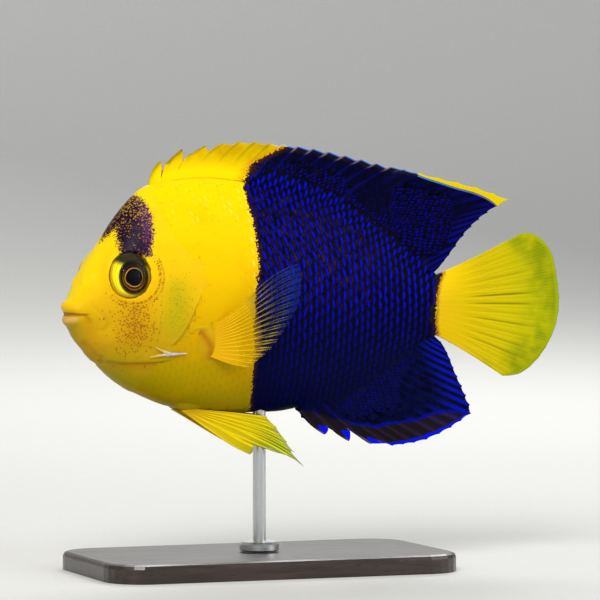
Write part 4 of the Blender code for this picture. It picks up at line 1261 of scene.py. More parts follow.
def painted_scales(name):
    """Lacquered acrylic: dark plates with a soft blue streak, or plain yellow with a glint painted
    on as a highlight and painted shade on the lower ones.
    """
    material, tree, shader = coating(name)
    place, yellow = yellow_paint(tree)
    tone = add(tree, "Attribute", out="Vector", attribute_name="tone")
    bright, brown, painted_glint = (add(tree, "SeparateXYZ", {0: tone}, out=k) for k in "XYZ")
    streak_place = add(tree, "Attribute", out="Vector", attribute_name="streak")
    inside = add(tree, "VectorMath", {0: streak_place}, out="Value", operation="LENGTH")
    streak = add(tree, "MapRange", {0: inside, 1: 1.3, 2: 0.25}, **SOFT_EDGED)
    grain = add(tree, "TexNoise", {"Vector": place, "Scale": GRAIN_PER_MM, "Detail": 2.0})
    uneven = add(tree, "MapRange", {0: grain, 1: 0.3, 2: 0.7, 3: 0.7, 4: 1.1})
    low = add(
        tree, "MapRange", {0: add(tree, "SeparateXYZ", {0: place}, out="Z"), 1: 2.0, 2: -14.0},
    )
    ground = coated(tree, "#010112", "#02052A", low)
    patches = add(
        tree, "TexNoise",
        {"Vector": place, "Scale": PATCHES_PER_MM, "Detail": 3.0, "Roughness": 0.7},
    )
    browner = add(tree, "MapRange", {0: patches, 1: 0.42, 2: 0.68})
    between = add(tree, "MapRange", {0: inside, 1: 1.1, 2: 1.7})
    ground = coated(tree, ground, "#3C2422", between, browner, brown, uneven)
    blue = coated(tree, ground, "#0509C6", streak, bright, uneven)
    # painted highlight: a pale glint on some of the yellow scales
    yellow = coated(tree, yellow, "#FFF080", streak, painted_glint)
    height = add(tree, "Attribute", out="Fac", attribute_name="height")
    shaded = add(tree, "MapRange", {0: height, 1: 0.42, 2: 0.2, 4: 0.3})
    yellow = coated(tree, yellow, "#8A7000", streak, shaded)
    edge = frayed(tree, place, add(tree, "Attribute", out="Fac", attribute_name="to_blue"), 0.45)
    fringe = add(tree, "MapRange", {0: edge, 1: 1.5, 2: 0.1, 4: 0.85}, **SOFT_EDGED)
    blue = coated(tree, blue, "#2E1420", fringe)
    side = add(tree, "MapRange", {0: edge, 1: -0.12, 2: 0.12})
    colour = coated(tree, yellow, blue, side)
    normal = add(tree, "Bump", {"Height": grain, "Strength": 0.08, "Distance": FINE_RELIEF})
    wire(
        tree, shader,
        {
            "Base Color": colour, "Normal": normal, "Roughness": 0.5, "IOR": LACQUER_IOR,
            "Specular IOR Level": 0.03,
        },
    )
    return material


line_height = curve_through(
    (45.4, 21.3), (49.3, 21.1), (57.2, 20.4), (65.0, 19.0), (70.0, 16.7), (75.0, 13.7), (80.0, 9.0),
    (86.0, 3.0), (92.5, 0.5)
)
scale_paint = painted_scales("lacquered_acrylic_scales")
s, arc, z, height = scale_places()
rng = np.random.default_rng(11)
to_blue = to_blue_of_body(s, z)
blue_part = to_blue > 0
by_height = np.interp(z, [-20, -11, -5, 2], [0.12, 0.25, 0.55, 1.0])
dark_front = 1 - 0.6 * (1 - smooth_step(to_blue, 1.0, 8.0)) * (1 - smooth_step(z, -6.0, 4.0))
bright = by_height * dark_front * rng.uniform(0.55, 1.0, len(s))
on_line = hump(z, line_height(s), 0.8) * (1 - smooth_step(s, 72, 84))
climb = z - back_line(s)
brown = 0.8 * smooth_step(z, -6, 8) * (1 - smooth_step(s, 66, 86)) * (1 - smooth_step(climb, -5, 0))
brown = np.clip(np.maximum(brown * rng.uniform(0.3, 1.2, len(s)), on_line), 0, 1)
bright = bright * (1 - 0.7 * on_line)
# painted highlights: pale glints on the yellow scales next to the blue and high on the back
near_edge = hump(to_blue, -1.2, 1.2) * rng.uniform(0, 1, len(s)) ** 1.5 * smooth_step(z, -4, 4)
painted_glint_places = (hump(s, 29, 4.5) + hump(s, 39, 3.5)) * hump(z, 22.5, 3.0)
painted_upper_glints = painted_glint_places * rng.uniform(0, 1, len(s)) ** 3
tone = np.stack([bright, brown, np.clip(0.9 * near_edge + 0.8 * painted_upper_glints, 0, 1)], 1)
streak_wide = np.where(blue_part, STREAK_HALF_WIDTH, 0.22)
streak_tall = np.where(blue_part, 1.15 * height, 0.6 * height)
upper_lean = smooth_step(z, 2, 14) * (1 - smooth_step(s, 56, 84)) * (1 - smooth_step(climb, -7, -3))
lean = (
    np.radians(17) * upper_lean
    - np.radians(24) * smooth_step(climb, -3.5, 0.5)
    - np.radians(9) * (1 - smooth_step(z, -14, 0)) * smooth_step(s, 55, 75)
)
lift = FREE_EDGE * (0.2 + 0.8 * smooth_step(to_blue, -0.5, 0.8))
lift = lift * (0.3 + 0.7 * smooth_step(z - belly_line(s), 0.5, 4.0))
lift = lift * (1 - 0.4 * smooth_step(s, 86, 92))
patch_place = np.stack([(s - 12) / 84, (arc + 36) / 78], 1)
for side, word in SIDES:
    scales = plates(
        f"scales_{word}", on_flank, side, s, arc, PLATE_LENGTH, height, lift,
        (streak_wide, streak_tall), lean, tone, to_blue_of_body, patch_place,
    )
    scales.data.materials.append(scale_paint)
    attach(scales, "root")

# The fins in the middle plane: dorsal, anal and tail, each cast thin over spines and branched
# rays that stand up on both faces, let into a slot in the body and painted by airbrush.

DORSAL_SPINES = 15
ANAL_SPINES = 3


def along(path, share):
    """Places at shares of a path of corners, read from a smooth curve through them."""
    path = np.array(path, float)
    steps = np.arange(len(path))
    at = np.asarray(share) * steps[-1]
    return np.stack([curve_through(*zip(steps, path[:, k]))(at) for k in range(path.shape[1])], -1)


def vane(name, middle, half, values):
    """A closed thin sheet about middle points (columns, rows, 3), with its half-thickness."""
    across = np.cross(np.gradient(middle, axis=0), np.gradient(middle, axis=1))
    across /= np.linalg.norm(across, axis=-1, keepdims=True) + 1e-12
    columns, rows = half.shape
    one, other = middle + across * half[..., None], middle - across * half[..., None]
    quad = grid_faces(columns, rows)
    size = columns * rows
    near, far = np.arange(columns) * rows, np.arange(columns - 2, -1, -1) * rows + rows - 1
    rim = np.concatenate(
        [near, (columns - 1) * rows + np.arange(1, rows), far, np.arange(rows - 2, 0, -1)]
    )
    edge = np.stack([rim, np.roll(rim, -1), np.roll(rim, -1) + size, rim + size], 1)
    points = np.concatenate([one.reshape(-1, 3), other.reshape(-1, 3)])
    faces = np.concatenate([quad, quad[:, ::-1] + size, edge])
    doubled = {"place": points}
    for key, array in values.items():
        flat = np.broadcast_to(array, (columns, rows, *np.shape(array)[2:])).reshape(size, -1)
        doubled[key] = np.concatenate([flat, flat]).squeeze()
    made = put(name, swim(points), faces, doubled)
    turn_outwards(made)
    return made


def rayed(spines, rays, columns, rows, notches, thick, spacing, branch_from=0.42):
    """What all the fins share: for each column and row the ray number, the share of its reach,
    how thick a ray is, how strongly one or its branches stand up, and how far the web reaches."""
    number = np.linspace(0, rays - 1, (rays - 1) * columns + 1)
    fraction = number - np.floor(number)
    left = np.minimum(np.floor(number).astype(int), rays - 1)
    notch = np.array(list(notches) + [0.0])[left]
    sagging = np.where(fraction < 0.92, fraction / 0.92, (1 - fraction) / 0.08)
    shape = np.where(left >= spines, np.sin(math.pi * fraction) ** 0.6, sagging)
    reach = 1 - notch * shape
    t = np.linspace(0, 1, rows)[None, :] ** 0.9 * reach[:, None]
    apart = spacing[0] + (spacing[1] - spacing[0]) * t
    nearest = np.round(number)
    offset = (number - nearest)[:, None] * apart
    is_spine = (nearest < spines)[:, None]
    split = np.where(is_spine, 0, smooth_step(t, branch_from, branch_from + 0.3) * 0.2 * apart)
    split_again = np.where(is_spine, 0, smooth_step(t, 0.72, 0.95) * 0.1 * apart)
    radius = np.where(is_spine, thick[0], thick[1]) * (1 - 0.62 * t)
    ridge = np.zeros_like(t)
    for a in (-1, 1):
        for b in (-1, 1):
            ridge = np.maximum(
                ridge, np.exp(-(((offset - a * split - b * split_again) / (radius * 0.9)) ** 2)),
            )
    return number, t, radius, ridge, reach


def ray_places(t, reach, length, ridge):
    """How far out each point is and how far inside the fin's edge, and the paint's values."""
    out, margin = t * length, (reach[:, None] - t) * length
    return out, margin, np.stack([ridge, out, margin], -1)


def middle_vane(
    name, roots, tips, spines, notches, bow, columns, rows, edge_line, span, ripple, trim_of,
    band_of,
):
    """A fin in the middle plane, from its rays' roots and tips, seated on the body's edge line."""
    roots, tips = np.array(roots), np.array(tips)
    steps = np.arange(len(roots))
    spacing = [np.linalg.norm(np.diff(ends, axis=0), axis=1).mean() for ends in (roots, tips)]
    number, t, radius, ridge, reach = rayed(
        spines, len(roots), columns, rows, notches, (0.42, 0.3), spacing,
    )
    root, tip = (
        np.stack([np.interp(number, steps, ends[:, k]) for k in (0, 1)], 1)
        for ends in (roots, tips)
    )
    way = tip - root
    length = np.linalg.norm(way, axis=1)[:, None]
    upward = 1 if tips[0, 1] > 0 else -1
    ahead = np.stack([-way[:, 1], way[:, 0]], 1) * upward
    bowed = np.interp(number, steps, bow)[:, None] * np.sin(math.pi * t)
    flat = root[:, None] + way[:, None] * t[..., None] + ahead[:, None] * bowed[..., None]
    out, margin, ray = ray_places(t, reach, length, ridge)
    rise = (flat[..., 1] - edge_line(flat[..., 0])) * upward
    y = ripple * np.sin(flat[..., 0] * 0.23) * np.minimum(1.5, out / 10) ** 2
    shown = smooth_step(rise, 2.0, 7.0)
    standing = (radius - MEMBRANE_HALF * 0.6) * ridge * shown
    half = MEMBRANE_HALF + standing + fin_root(flat[..., 0], rise, *span)
    half = np.minimum(half, 0.1 + 0.9 * margin) * (0.84 + 0.16 * smooth_step(out, 0.0, 2.0))
    values = {
        "ray": ray,
        "number": np.broadcast_to(number[:, None], t.shape),
        "to_blue": blue_from(flat[..., 0], flat[..., 1]),
        "trim": trim_of(flat[..., 0], flat[..., 1], np.broadcast_to(number[:, None], t.shape)),
        "zone": np.stack(
            [
                band_of(flat[..., 0], flat[..., 1], margin),
                np.broadcast_to(smooth_step(number, spines + 2, spines + 8)[:, None], t.shape),
                rise,
            ],
            -1,
        ),
    }
    return vane(name, np.stack([flat[..., 0], y, flat[..., 1]], -1), half, values)


spine_tip_line = curve_through(
    (24.7, 32.9), (30.2, 35.5), (37.0, 36.5), (45.0, 37.2), (58.8, 36.2), (81.1, 31.5),
)
SOFT_DORSAL_TOP = [(84.6, 30.9), (92.9, 29.0), (102.0, 26.7), (110.0, 24.0)]
SOFT_DORSAL_REAR = [(110.0, 24.0), (104.2, 20.6), (99.8, 16.8), (95.8, 11.6), (92.9, 8.3)]
ROOTS_AHEAD = (0.0, 1.6, 2.0, 1.3, 0.6, 0.2)
DORSAL_TOP_RAYS = 7
DORSAL_REAR_RAYS = 9
WEB_CLOUDS_PER_MM = 0.8
WANDER_PER_MM = 0.5
WARM_CLOUDS_PER_MM = 0.3
JOINT_TURN_PER_MM = 6.6
LAVENDER_PART = (94.0, 104.0)


def dorsal_rays():
    """The roots and tips of the dorsal fin's spines and soft rays."""
    i = np.arange(DORSAL_SPINES)
    root_s = DORSAL_START + 3.95 * i - 0.056 * i * i
    root_s[: len(ROOTS_AHEAD)] -= ROOTS_AHEAD
    tip_s = np.where(i == 0, 24.7, 30.2 + 5.9 * np.minimum(i - 1, 1) + 3.75 * np.maximum(i - 2, 0))
    tips = np.stack([tip_s, spine_tip_line(tip_s)], 1)
    soft_s = np.linspace(root_s[-1] + 2.2, DORSAL_END + 1.0, DORSAL_TOP_RAYS + DORSAL_REAR_RAYS)
    top = along(SOFT_DORSAL_TOP, np.arange(DORSAL_TOP_RAYS) / (DORSAL_TOP_RAYS - 1))
    rear = along(SOFT_DORSAL_REAR, np.arange(1, DORSAL_REAR_RAYS + 1) / DORSAL_REAR_RAYS)
    root_s = np.concatenate([root_s, soft_s])
    return np.stack([root_s, back_line(root_s) - 0.9], 1), np.concatenate([tips, top, rear])


def airbrushed_fin(name, rim_code, band_code, ground_code, lined):
    """Thin resin, satin: dark blue webs, brighter rays, a brown band inside a blue edge."""
    material, tree, shader = coating(name)
    keys = ("place", "ray", "trim", "zone")
    place, *threes = (add(tree, "Attribute", out="Vector", attribute_name=key) for key in keys)
    (ridge, out, margin), (rim_reach, strip, spiny), (in_band, rearward, rise) = (
        [add(tree, "SeparateXYZ", {0: three}, out=axis) for axis in "XYZ"] for three in threes
    )
    number = add(tree, "Attribute", out="Fac", attribute_name="number")
    web = add(
        tree, "MapRange",
        {
            0: add(tree, "TexNoise", {"Vector": place, "Scale": WEB_CLOUDS_PER_MM, "Detail": 3.0}),
            1: 0.35, 2: 0.7,
        },
    )
    blue = coated(tree, "#010116", ground_code, web)
    turn = add(tree, "Math", {0: number, 1: 2 * math.pi}, operation="MULTIPLY")
    on_ray = add(
        tree, "MapRange", {0: add(tree, "Math", {0: turn}, operation="COSINE"), 1: -0.5, 2: 0.7},
        **SOFT_EDGED,
    )
    joints = add(
        tree, "Math", {0: add(tree, "Math", {0: out, 1: JOINT_TURN_PER_MM}, operation="MULTIPLY")},
        operation="SINE",
    )
    jointed = add(tree, "MapRange", {0: joints, 1: -1.0, 2: 1.0, 3: 0.6, 4: 1.0})
    toward_end = add(tree, "MapRange", {0: margin, 1: 11.0, 2: 2.0, 3: 0.08, 4: 1.0}, **SOFT_EDGED)
    soft = add(tree, "Math", {0: 1.0, 1: spiny}, operation="SUBTRACT")
    rear_ends = add(tree, "MapRange", {0: rearward, 3: 0.12, 4: 1.0})
    blue = coated(tree, blue, band_code, on_ray, jointed, toward_end, soft, rear_ends)
    blue = coated(tree, blue, "#04066A", ridge, jointed, spiny, 0.8)
    wander = add(
        tree, "MapRange",
        {
            0: add(tree, "TexNoise", {"Vector": place, "Scale": WANDER_PER_MM, "Detail": 2.0}),
            3: -0.8, 4: 0.8,
        },
    )
    inward = add(tree, "Math", {0: in_band, 1: wander}, operation="ADD")
    rimmed = add(tree, "MapRange", {0: rim_reach, 1: 0.0, 2: 0.3})
    band = add(tree, "MapRange", {0: inward, 1: -0.4, 2: 0.6}, **SOFT_EDGED)
    blue = coated(tree, blue, "#1C1414", band, rimmed, 0.8 if lined else 0.6)
    streaks = add(
        tree, "MapRange", {0: add(tree, "Math", {0: turn}, operation="COSINE"), 1: 0.2, 2: 0.9},
    )
    blue = coated(tree, blue, "#3E2C28", band, streaks, rimmed, 0.25 if lined else 0.2)
    if lined:
        from_line = add(tree, "Math", {0: inward}, operation="ABSOLUTE")
        line = add(tree, "MapRange", {0: from_line, 1: 0.55, 2: 0.15}, **SOFT_EDGED)
        blue = coated(tree, blue, "#030A8A", line, rimmed, soft, 0.8)
    past_rim = add(tree, "Math", {0: margin, 1: rim_reach}, operation="SUBTRACT")
    rim = add(tree, "MapRange", {0: past_rim, 1: 0.12, 2: -0.12}, **SOFT_EDGED)
    blue = coated(tree, blue, rim_code, rim, rimmed)
    tip = add(tree, "MapRange", {0: margin, 1: 2.4, 2: 0.8})
    blue = coated(tree, blue, "#A08486", ridge, spiny, tip, 0.8)
    edge = frayed(tree, place, add(tree, "Attribute", out="Fac", attribute_name="to_blue"), 0.8)
    fringe = add(tree, "MapRange", {0: edge, 1: 3.4, 2: 0.2}, **SOFT_EDGED)
    blue = coated(
        tree, blue, "#3A200E", fringe, add(tree, "MapRange", {0: margin, 1: 0.4, 2: 1.2}), 0.85,
    )
    warm = add(
        tree, "MapRange",
        {
            0: add(tree, "TexNoise", {"Vector": place, "Scale": WARM_CLOUDS_PER_MM, "Detail": 2.0}),
            1: 0.4, 2: 0.65,
        },
    )
    yellow = coated(tree, "#D2B000", "#C89C00", warm)
    yellow = coated(
        tree, yellow, "#FBD600", add(tree, "MapRange", {0: rise, 1: 5.5, 2: 0.5}, **SOFT_EDGED),
    )
    behind = add(
        tree, "MapRange",
        {0: add(tree, "Math", {0: number}, operation="FRACT"), 1: 0.02, 2: 0.3, 3: 1.0, 4: 0.0},
    )
    outer_part = add(tree, "MapRange", {0: margin, 1: 7.5, 2: 1.0})
    yellow = coated(tree, yellow, "#8C8200", behind, outer_part, 0.7)
    yellow = coated(
        tree, yellow, "#D98E00", add(tree, "MapRange", {0: edge, 1: -2.6, 2: 0.0}), 0.75,
    )
    pale_tip = add(tree, "MapRange", {0: margin, 1: 0.5, 2: 0.1})
    yellow = coated(tree, yellow, "#A8D0C0", rimmed, pale_tip, 0.7)
    colour = coated(tree, yellow, blue, add(tree, "MapRange", {0: edge, 1: -0.3, 2: 0.3}))
    inside = add(tree, "MapRange", {0: strip, 1: 0.0, 2: 0.12})
    colour = coated(tree, colour, "#DCC400", inside)
    below_strip = add(
        tree, "Math", {0: add(tree, "Math", {0: strip, 1: 0.2}, operation="ADD")},
        operation="ABSOLUTE",
    )
    line = add(tree, "MapRange", {0: below_strip, 1: 0.24, 2: 0.06}, **SOFT_EDGED)
    lavender = add(
        tree, "MapRange",
        {
            0: add(tree, "SeparateXYZ", {0: place}, out="X"), 1: LAVENDER_PART[0],
            2: LAVENDER_PART[1],
        },
    )
    line_colour = coated(tree, "#3C78D0", "#6A62A0", lavender)
    colour = coated(tree, colour, line_colour, line)
    normal = add(tree, "Bump", {"Height": joints, "Strength": 0.05, "Distance": FINE_RELIEF})
    wire(
        tree, shader,
        {
            "Base Color": colour, "Normal": normal, "Roughness": 0.5, "IOR": LACQUER_IOR,
            "Specular IOR Level": 0.03,
        },
    )
    return material


STRIP_START = 87.6
strip_line = curve_through(
    (87.2, 29.9), (90.0, 28.9), (92.9, 28.0), (97.2, 26.6), (100.6, 25.7), (103.5, 24.6),
    (106.2, 23.0), (108.0, 21.0)
)


def dorsal_trim(s, z, number):
    """How wide the pale rim is, how far inside the yellow strip, and where the fin is spiny."""
    last_top = DORSAL_SPINES + DORSAL_TOP_RAYS - 1
    top = 1 - smooth_step(number, last_top - 0.4, last_top + 0.1)
    rim = 0.3 * smooth_step(s, 50.0, 55.0) * top
    strip = np.where(s > STRIP_START, z - strip_line(s), -5.0)
    return np.stack([rim, strip, 1 - smooth_step(number, DORSAL_SPINES - 1, DORSAL_SPINES)], -1)


def dorsal_band(s, z, margin):
    """The thin dark band just under the dorsal fin's upper edge."""
    return 1.5 - margin


DORSAL_NOTCHES = [0.74, 0.56, 0.3, 0.1] + [0.055] * (DORSAL_SPINES - 5) + [0.02] * 8 + [0.05] * 9
DORSAL_BOW = [0.1, 0.09, 0.09, 0.08, 0.06, 0.05] + [0.04] * (DORSAL_SPINES - 6) + [0.02] * 16
dorsal_root, dorsal_tip = dorsal_rays()
dorsal = middle_vane(
    "dorsal_fin_vane", dorsal_root, dorsal_tip, DORSAL_SPINES, DORSAL_NOTCHES, DORSAL_BOW, 10, 44,
    back_line, (DORSAL_START, DORSAL_END), 0.35, dorsal_trim, dorsal_band,
)
dorsal.data.materials.append(
    airbrushed_fin("airbrushed_resin_dorsal_fin", "#2E6ACC", "#04067E", "#02032C", False)
)
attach(dorsal, "root")
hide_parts("dorsal_fin")

ANAL_SPINE_TIPS = [(64.8, -29.7), (71.2, -31.3), (76.6, -32.1)]
SOFT_ANAL_LOW = [(81.6, -32.7), (87.6, -31.9), (95.0, -29.2), (101.0, -25.7)]
SOFT_ANAL_REAR = [(101.5, -25.6), (99.6, -20.9), (97.0, -15.9), (95.2, -11.8), (93.4, -8.9)]
ANAL_LOW_RAYS = 8
ANAL_REAR_RAYS = 9
rim_width = curve_through(
    (62.0, 0.7), (71.0, 0.7), (76.0, 0.5), (81.5, 1.1), (89.5, 1.3), (95.0, 0.9), (101.0, 0.4),
)


def anal_trim(s, z, number):
    """How wide the blue rim is along the lower edge, with no strip, and where the fin is spiny."""
    last_low = ANAL_SPINES + ANAL_LOW_RAYS - 1
    low = 1 - smooth_step(number, last_low - 0.6, last_low + 0.1)
    fraction = number - np.floor(number)
    lobe = 2.2 * hump(fraction, 0.4, 0.24) * (number < ANAL_SPINES - 1)
    lobe = lobe + 2.4 * hump(number, ANAL_SPINES - 0.6, 0.3)
    return np.stack(
        [
            rim_width(s) * low + lobe, np.full_like(s, -5.0),
            1 - smooth_step(number, ANAL_SPINES - 1, ANAL_SPINES),
        ],
        -1,
    )


inner_line = curve_through(
    (58.0, -23.0), (63.6, -25.0), (69.0, -26.4), (73.9, -27.6), (78.3, -28.0), (82.9, -27.2),
    (87.7, -26.4), (92.0, -25.1), (97.0, -25.0), (101.0, -26.0)
)


def anal_band(s, z, margin):
    """The wide brown band below the thin blue line inside the anal fin's lower edge."""
    return inner_line(s) - z


anal_s = np.concatenate(
    [[57.9, 60.6, 63.2], np.linspace(64.9, ANAL_END + 0.9, ANAL_LOW_RAYS + ANAL_REAR_RAYS)]
)
anal_root = np.stack([anal_s, belly_line(anal_s) + 0.9], 1)
anal_low = along(SOFT_ANAL_LOW, np.arange(ANAL_LOW_RAYS) / (ANAL_LOW_RAYS - 1))
anal_rear = along(SOFT_ANAL_REAR, np.arange(1, ANAL_REAR_RAYS + 1) / ANAL_REAR_RAYS)
anal_tip = np.concatenate([ANAL_SPINE_TIPS, anal_low, anal_rear])
ANAL_NOTCHES = [0.42, 0.34, 0.05] + [0.015] * 8 + [0.03] * 9
ANAL_BOW = [0.07, 0.06, 0.04] + [0.02] * 17
anal = middle_vane(
    "anal_fin_vane", anal_root, anal_tip, ANAL_SPINES, ANAL_NOTCHES, ANAL_BOW, 10, 40, belly_line,
    (ANAL_START, ANAL_END), -0.35, anal_trim, anal_band,
)
anal.data.materials.append(
    airbrushed_fin("airbrushed_resin_anal_fin", "#0412D6", "#0511B4", "#010A2E", True)
)
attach(anal, "root")
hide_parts("anal_fin")

TAIL_PIVOT = (88.0, -0.3)
TAIL_TOP_ANGLE = math.radians(33.5)
TAIL_LOW_ANGLE = math.radians(-39.0)
TAIL_RAYS = 15
TAIL_LENGTH = 30.0
TAIL_PATCHES_PER_MM = 0.22
STEM_HALF_HEIGHT = 6.45
tail_reach = curve_through(
    (-1.0, 26.4), (-0.93, 28.0), (-0.8, 30.0), (-0.5, 32.0), (0.2, 34.3), (0.6, 34.3), (0.82, 33.2),
    (0.94, 31.6), (1.0, 29.8)
)


def yellow_tail():
    """Thin resin, satin: lemon yellow, olive folds between the rays and a greener edge."""
    material, tree, shader = coating("airbrushed_resin_tail_fin")
    place = add(tree, "Attribute", out="Vector", attribute_name="place")
    ray = add(tree, "Attribute", out="Vector", attribute_name="ray")
    ridge, out, margin = (add(tree, "SeparateXYZ", {0: ray}, out=k) for k in "XYZ")
    number = add(tree, "Attribute", out="Fac", attribute_name="number")
    share = add(tree, "MapRange", {0: out, 1: 0.0, 2: TAIL_LENGTH})
    stops = [
        (0.0, "#E4B800"), (0.25, "#D6B600"), (0.6, "#CAB800"), (0.85, "#B8B200"), (1.0, "#A4A600"),
    ]
    colour = add(tree, "ValToRGB", {0: share}, stops=stops)
    up = add(tree, "SeparateXYZ", {0: place}, out="Z")
    upper = add(tree, "MapRange", {0: up, 1: 0.0, 2: 7.0})
    near_root = add(tree, "MapRange", {0: out, 1: 13.0, 2: 2.0})
    colour = coated(tree, colour, "#FFD400", upper, near_root, 0.8)
    turn = add(tree, "Math", {0: number, 1: 2 * math.pi}, operation="MULTIPLY")
    fold = add(
        tree, "MapRange", {0: add(tree, "Math", {0: turn}, operation="COSINE"), 1: -0.55, 2: -0.98},
        **SOFT_EDGED,
    )
    per_ray = add(
        tree, "TexNoise",
        {"W": add(tree, "Math", {0: number}, operation="FLOOR"), "Scale": 3.7, "Detail": 0.0},
        noise_dimensions="1D",
    )
    depth = add(tree, "MapRange", {0: per_ray, 1: 0.35, 2: 0.62, 3: 0.3, 4: 1.0})
    starts, ends = (
        add(tree, "MapRange", {0: out, 1: low, 2: high}, **SOFT_EDGED)
        for low, high in ((7.0, 14.0), (28.0, 20.0))
    )
    middle = add(
        tree, "MapRange",
        {
            0: add(
                tree, "Math", {0: add(tree, "Math", {0: number, 1: 6.2}, operation="SUBTRACT")},
                operation="ABSOLUTE",
            ),
            1: 7.0, 2: 2.0,
        },
    )
    colour = coated(tree, colour, "#6E6600", fold, depth, starts, ends, middle, 0.8)
    fine_turn = add(tree, "Math", {0: number, 1: 8 * math.pi}, operation="MULTIPLY")
    fine_streak = add(
        tree, "MapRange", {0: add(tree, "Math", {0: fine_turn}, operation="SINE"), 1: 0.0, 2: 1.0},
    )
    patchy = add(
        tree, "MapRange",
        {
            0: add(
                tree, "TexNoise", {"Vector": place, "Scale": TAIL_PATCHES_PER_MM, "Detail": 2.0},
            ),
            1: 0.38, 2: 0.62,
        },
    )
    near_edge = add(tree, "MapRange", {0: margin, 1: 10.0, 2: 2.5}, **SOFT_EDGED)
    colour = coated(tree, colour, "#7E9000", near_edge, patchy, 0.75)
    colour = coated(tree, colour, "#767A00", near_edge, patchy, fine_streak, 0.4)
    rim = add(tree, "MapRange", {0: margin, 1: 1.1, 2: 0.5}, **SOFT_EDGED)
    colour = coated(tree, colour, "#9CAC00", rim, 0.7)
    stem = add(tree, "Attribute", out="Fac", attribute_name="past_stem")
    fringe = frayed(tree, place, stem, 0.35)
    colour = coated(
        tree, colour, "#A86410", add(tree, "MapRange", {0: fringe, 1: 1.2, 2: 0.2}, **SOFT_EDGED),
        0.8,
    )
    colour = coated(tree, colour, "#1C0C22", add(tree, "MapRange", {0: fringe, 1: 0.25, 2: -0.1}))
    normal = add(tree, "Bump", {"Height": ridge, "Strength": 0.1, "Distance": 2 * FINE_RELIEF})
    wire(
        tree, shader,
        {
            "Base Color": colour, "Normal": normal, "Roughness": 0.45, "IOR": LACQUER_IOR,
            "Specular IOR Level": 0.07, "Subsurface Weight": 0.1, "Subsurface Scale": 0.0006,
        },
    )
    return material


def tail_vane():
    """The tail fin, thick and smooth where it grows out of the stem, with branched rays beyond."""
    rows, columns = 44, 12
    spread = (TAIL_TOP_ANGLE - TAIL_LOW_ANGLE) / 2
    middle_angle = (TAIL_TOP_ANGLE + TAIL_LOW_ANGLE) / 2
    number, t, radius, ridge, reach = rayed(
        0, TAIL_RAYS, columns, rows, [0.004] * TAIL_RAYS, (0.3, 0.3), (0.9, 2.6), 0.3,
    )
    share = number / (TAIL_RAYS - 1) * 2 - 1
    root = np.stack([np.full_like(share, STEM_END - 1.8), -0.25 + STEM_HALF_HEIGHT * share], 1)
    angle = middle_angle + spread * share
    way = np.stack([np.cos(angle), np.sin(angle)], 1)
    tip = np.array(TAIL_PIVOT) + tail_reach(share)[:, None] * way
    flat = root[:, None] + (tip - root)[:, None] * t[..., None]
    flat[..., 1] -= 0.5 * share[:, None] * np.sin(math.pi * t ** 0.7)
    length = np.linalg.norm(tip - root, axis=1)[:, None]
    out, margin, ray = ray_places(t, reach, length, ridge)
    y = 0.7 * np.sin(flat[..., 1] * 0.28 + 0.6) * t * t
    seat = np.maximum(0.3, flank(STEM_END - 0.5, np.broadcast_to(root[:, 1:2], t.shape)))
    half = MEMBRANE_HALF + (radius - MEMBRANE_HALF * 0.6) * ridge * smooth_step(out, 6.0, 13.0)
    half = np.minimum(half + (seat - 0.1) * np.exp(-((out / 5.0) ** 1.5)), 0.1 + 0.6 * margin)
    values = {
        "ray": ray,
        "number": np.broadcast_to(number[:, None], t.shape),
        "past_stem": flat[..., 0] - stem_edge(flat[..., 1]),
    }
    return vane("tail_fin_vane", np.stack([flat[..., 0], y, flat[..., 1]], -1), half, values)


tail = tail_vane()
tail.data.materials.append(yellow_tail())
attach(tail, "root")
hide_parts("tail_fin")

# The scaly sheaths: smaller plates that climb the webs of the dorsal and anal fins along the
# rays, pressed and laid like the body's, with the streaks lying along the rays.

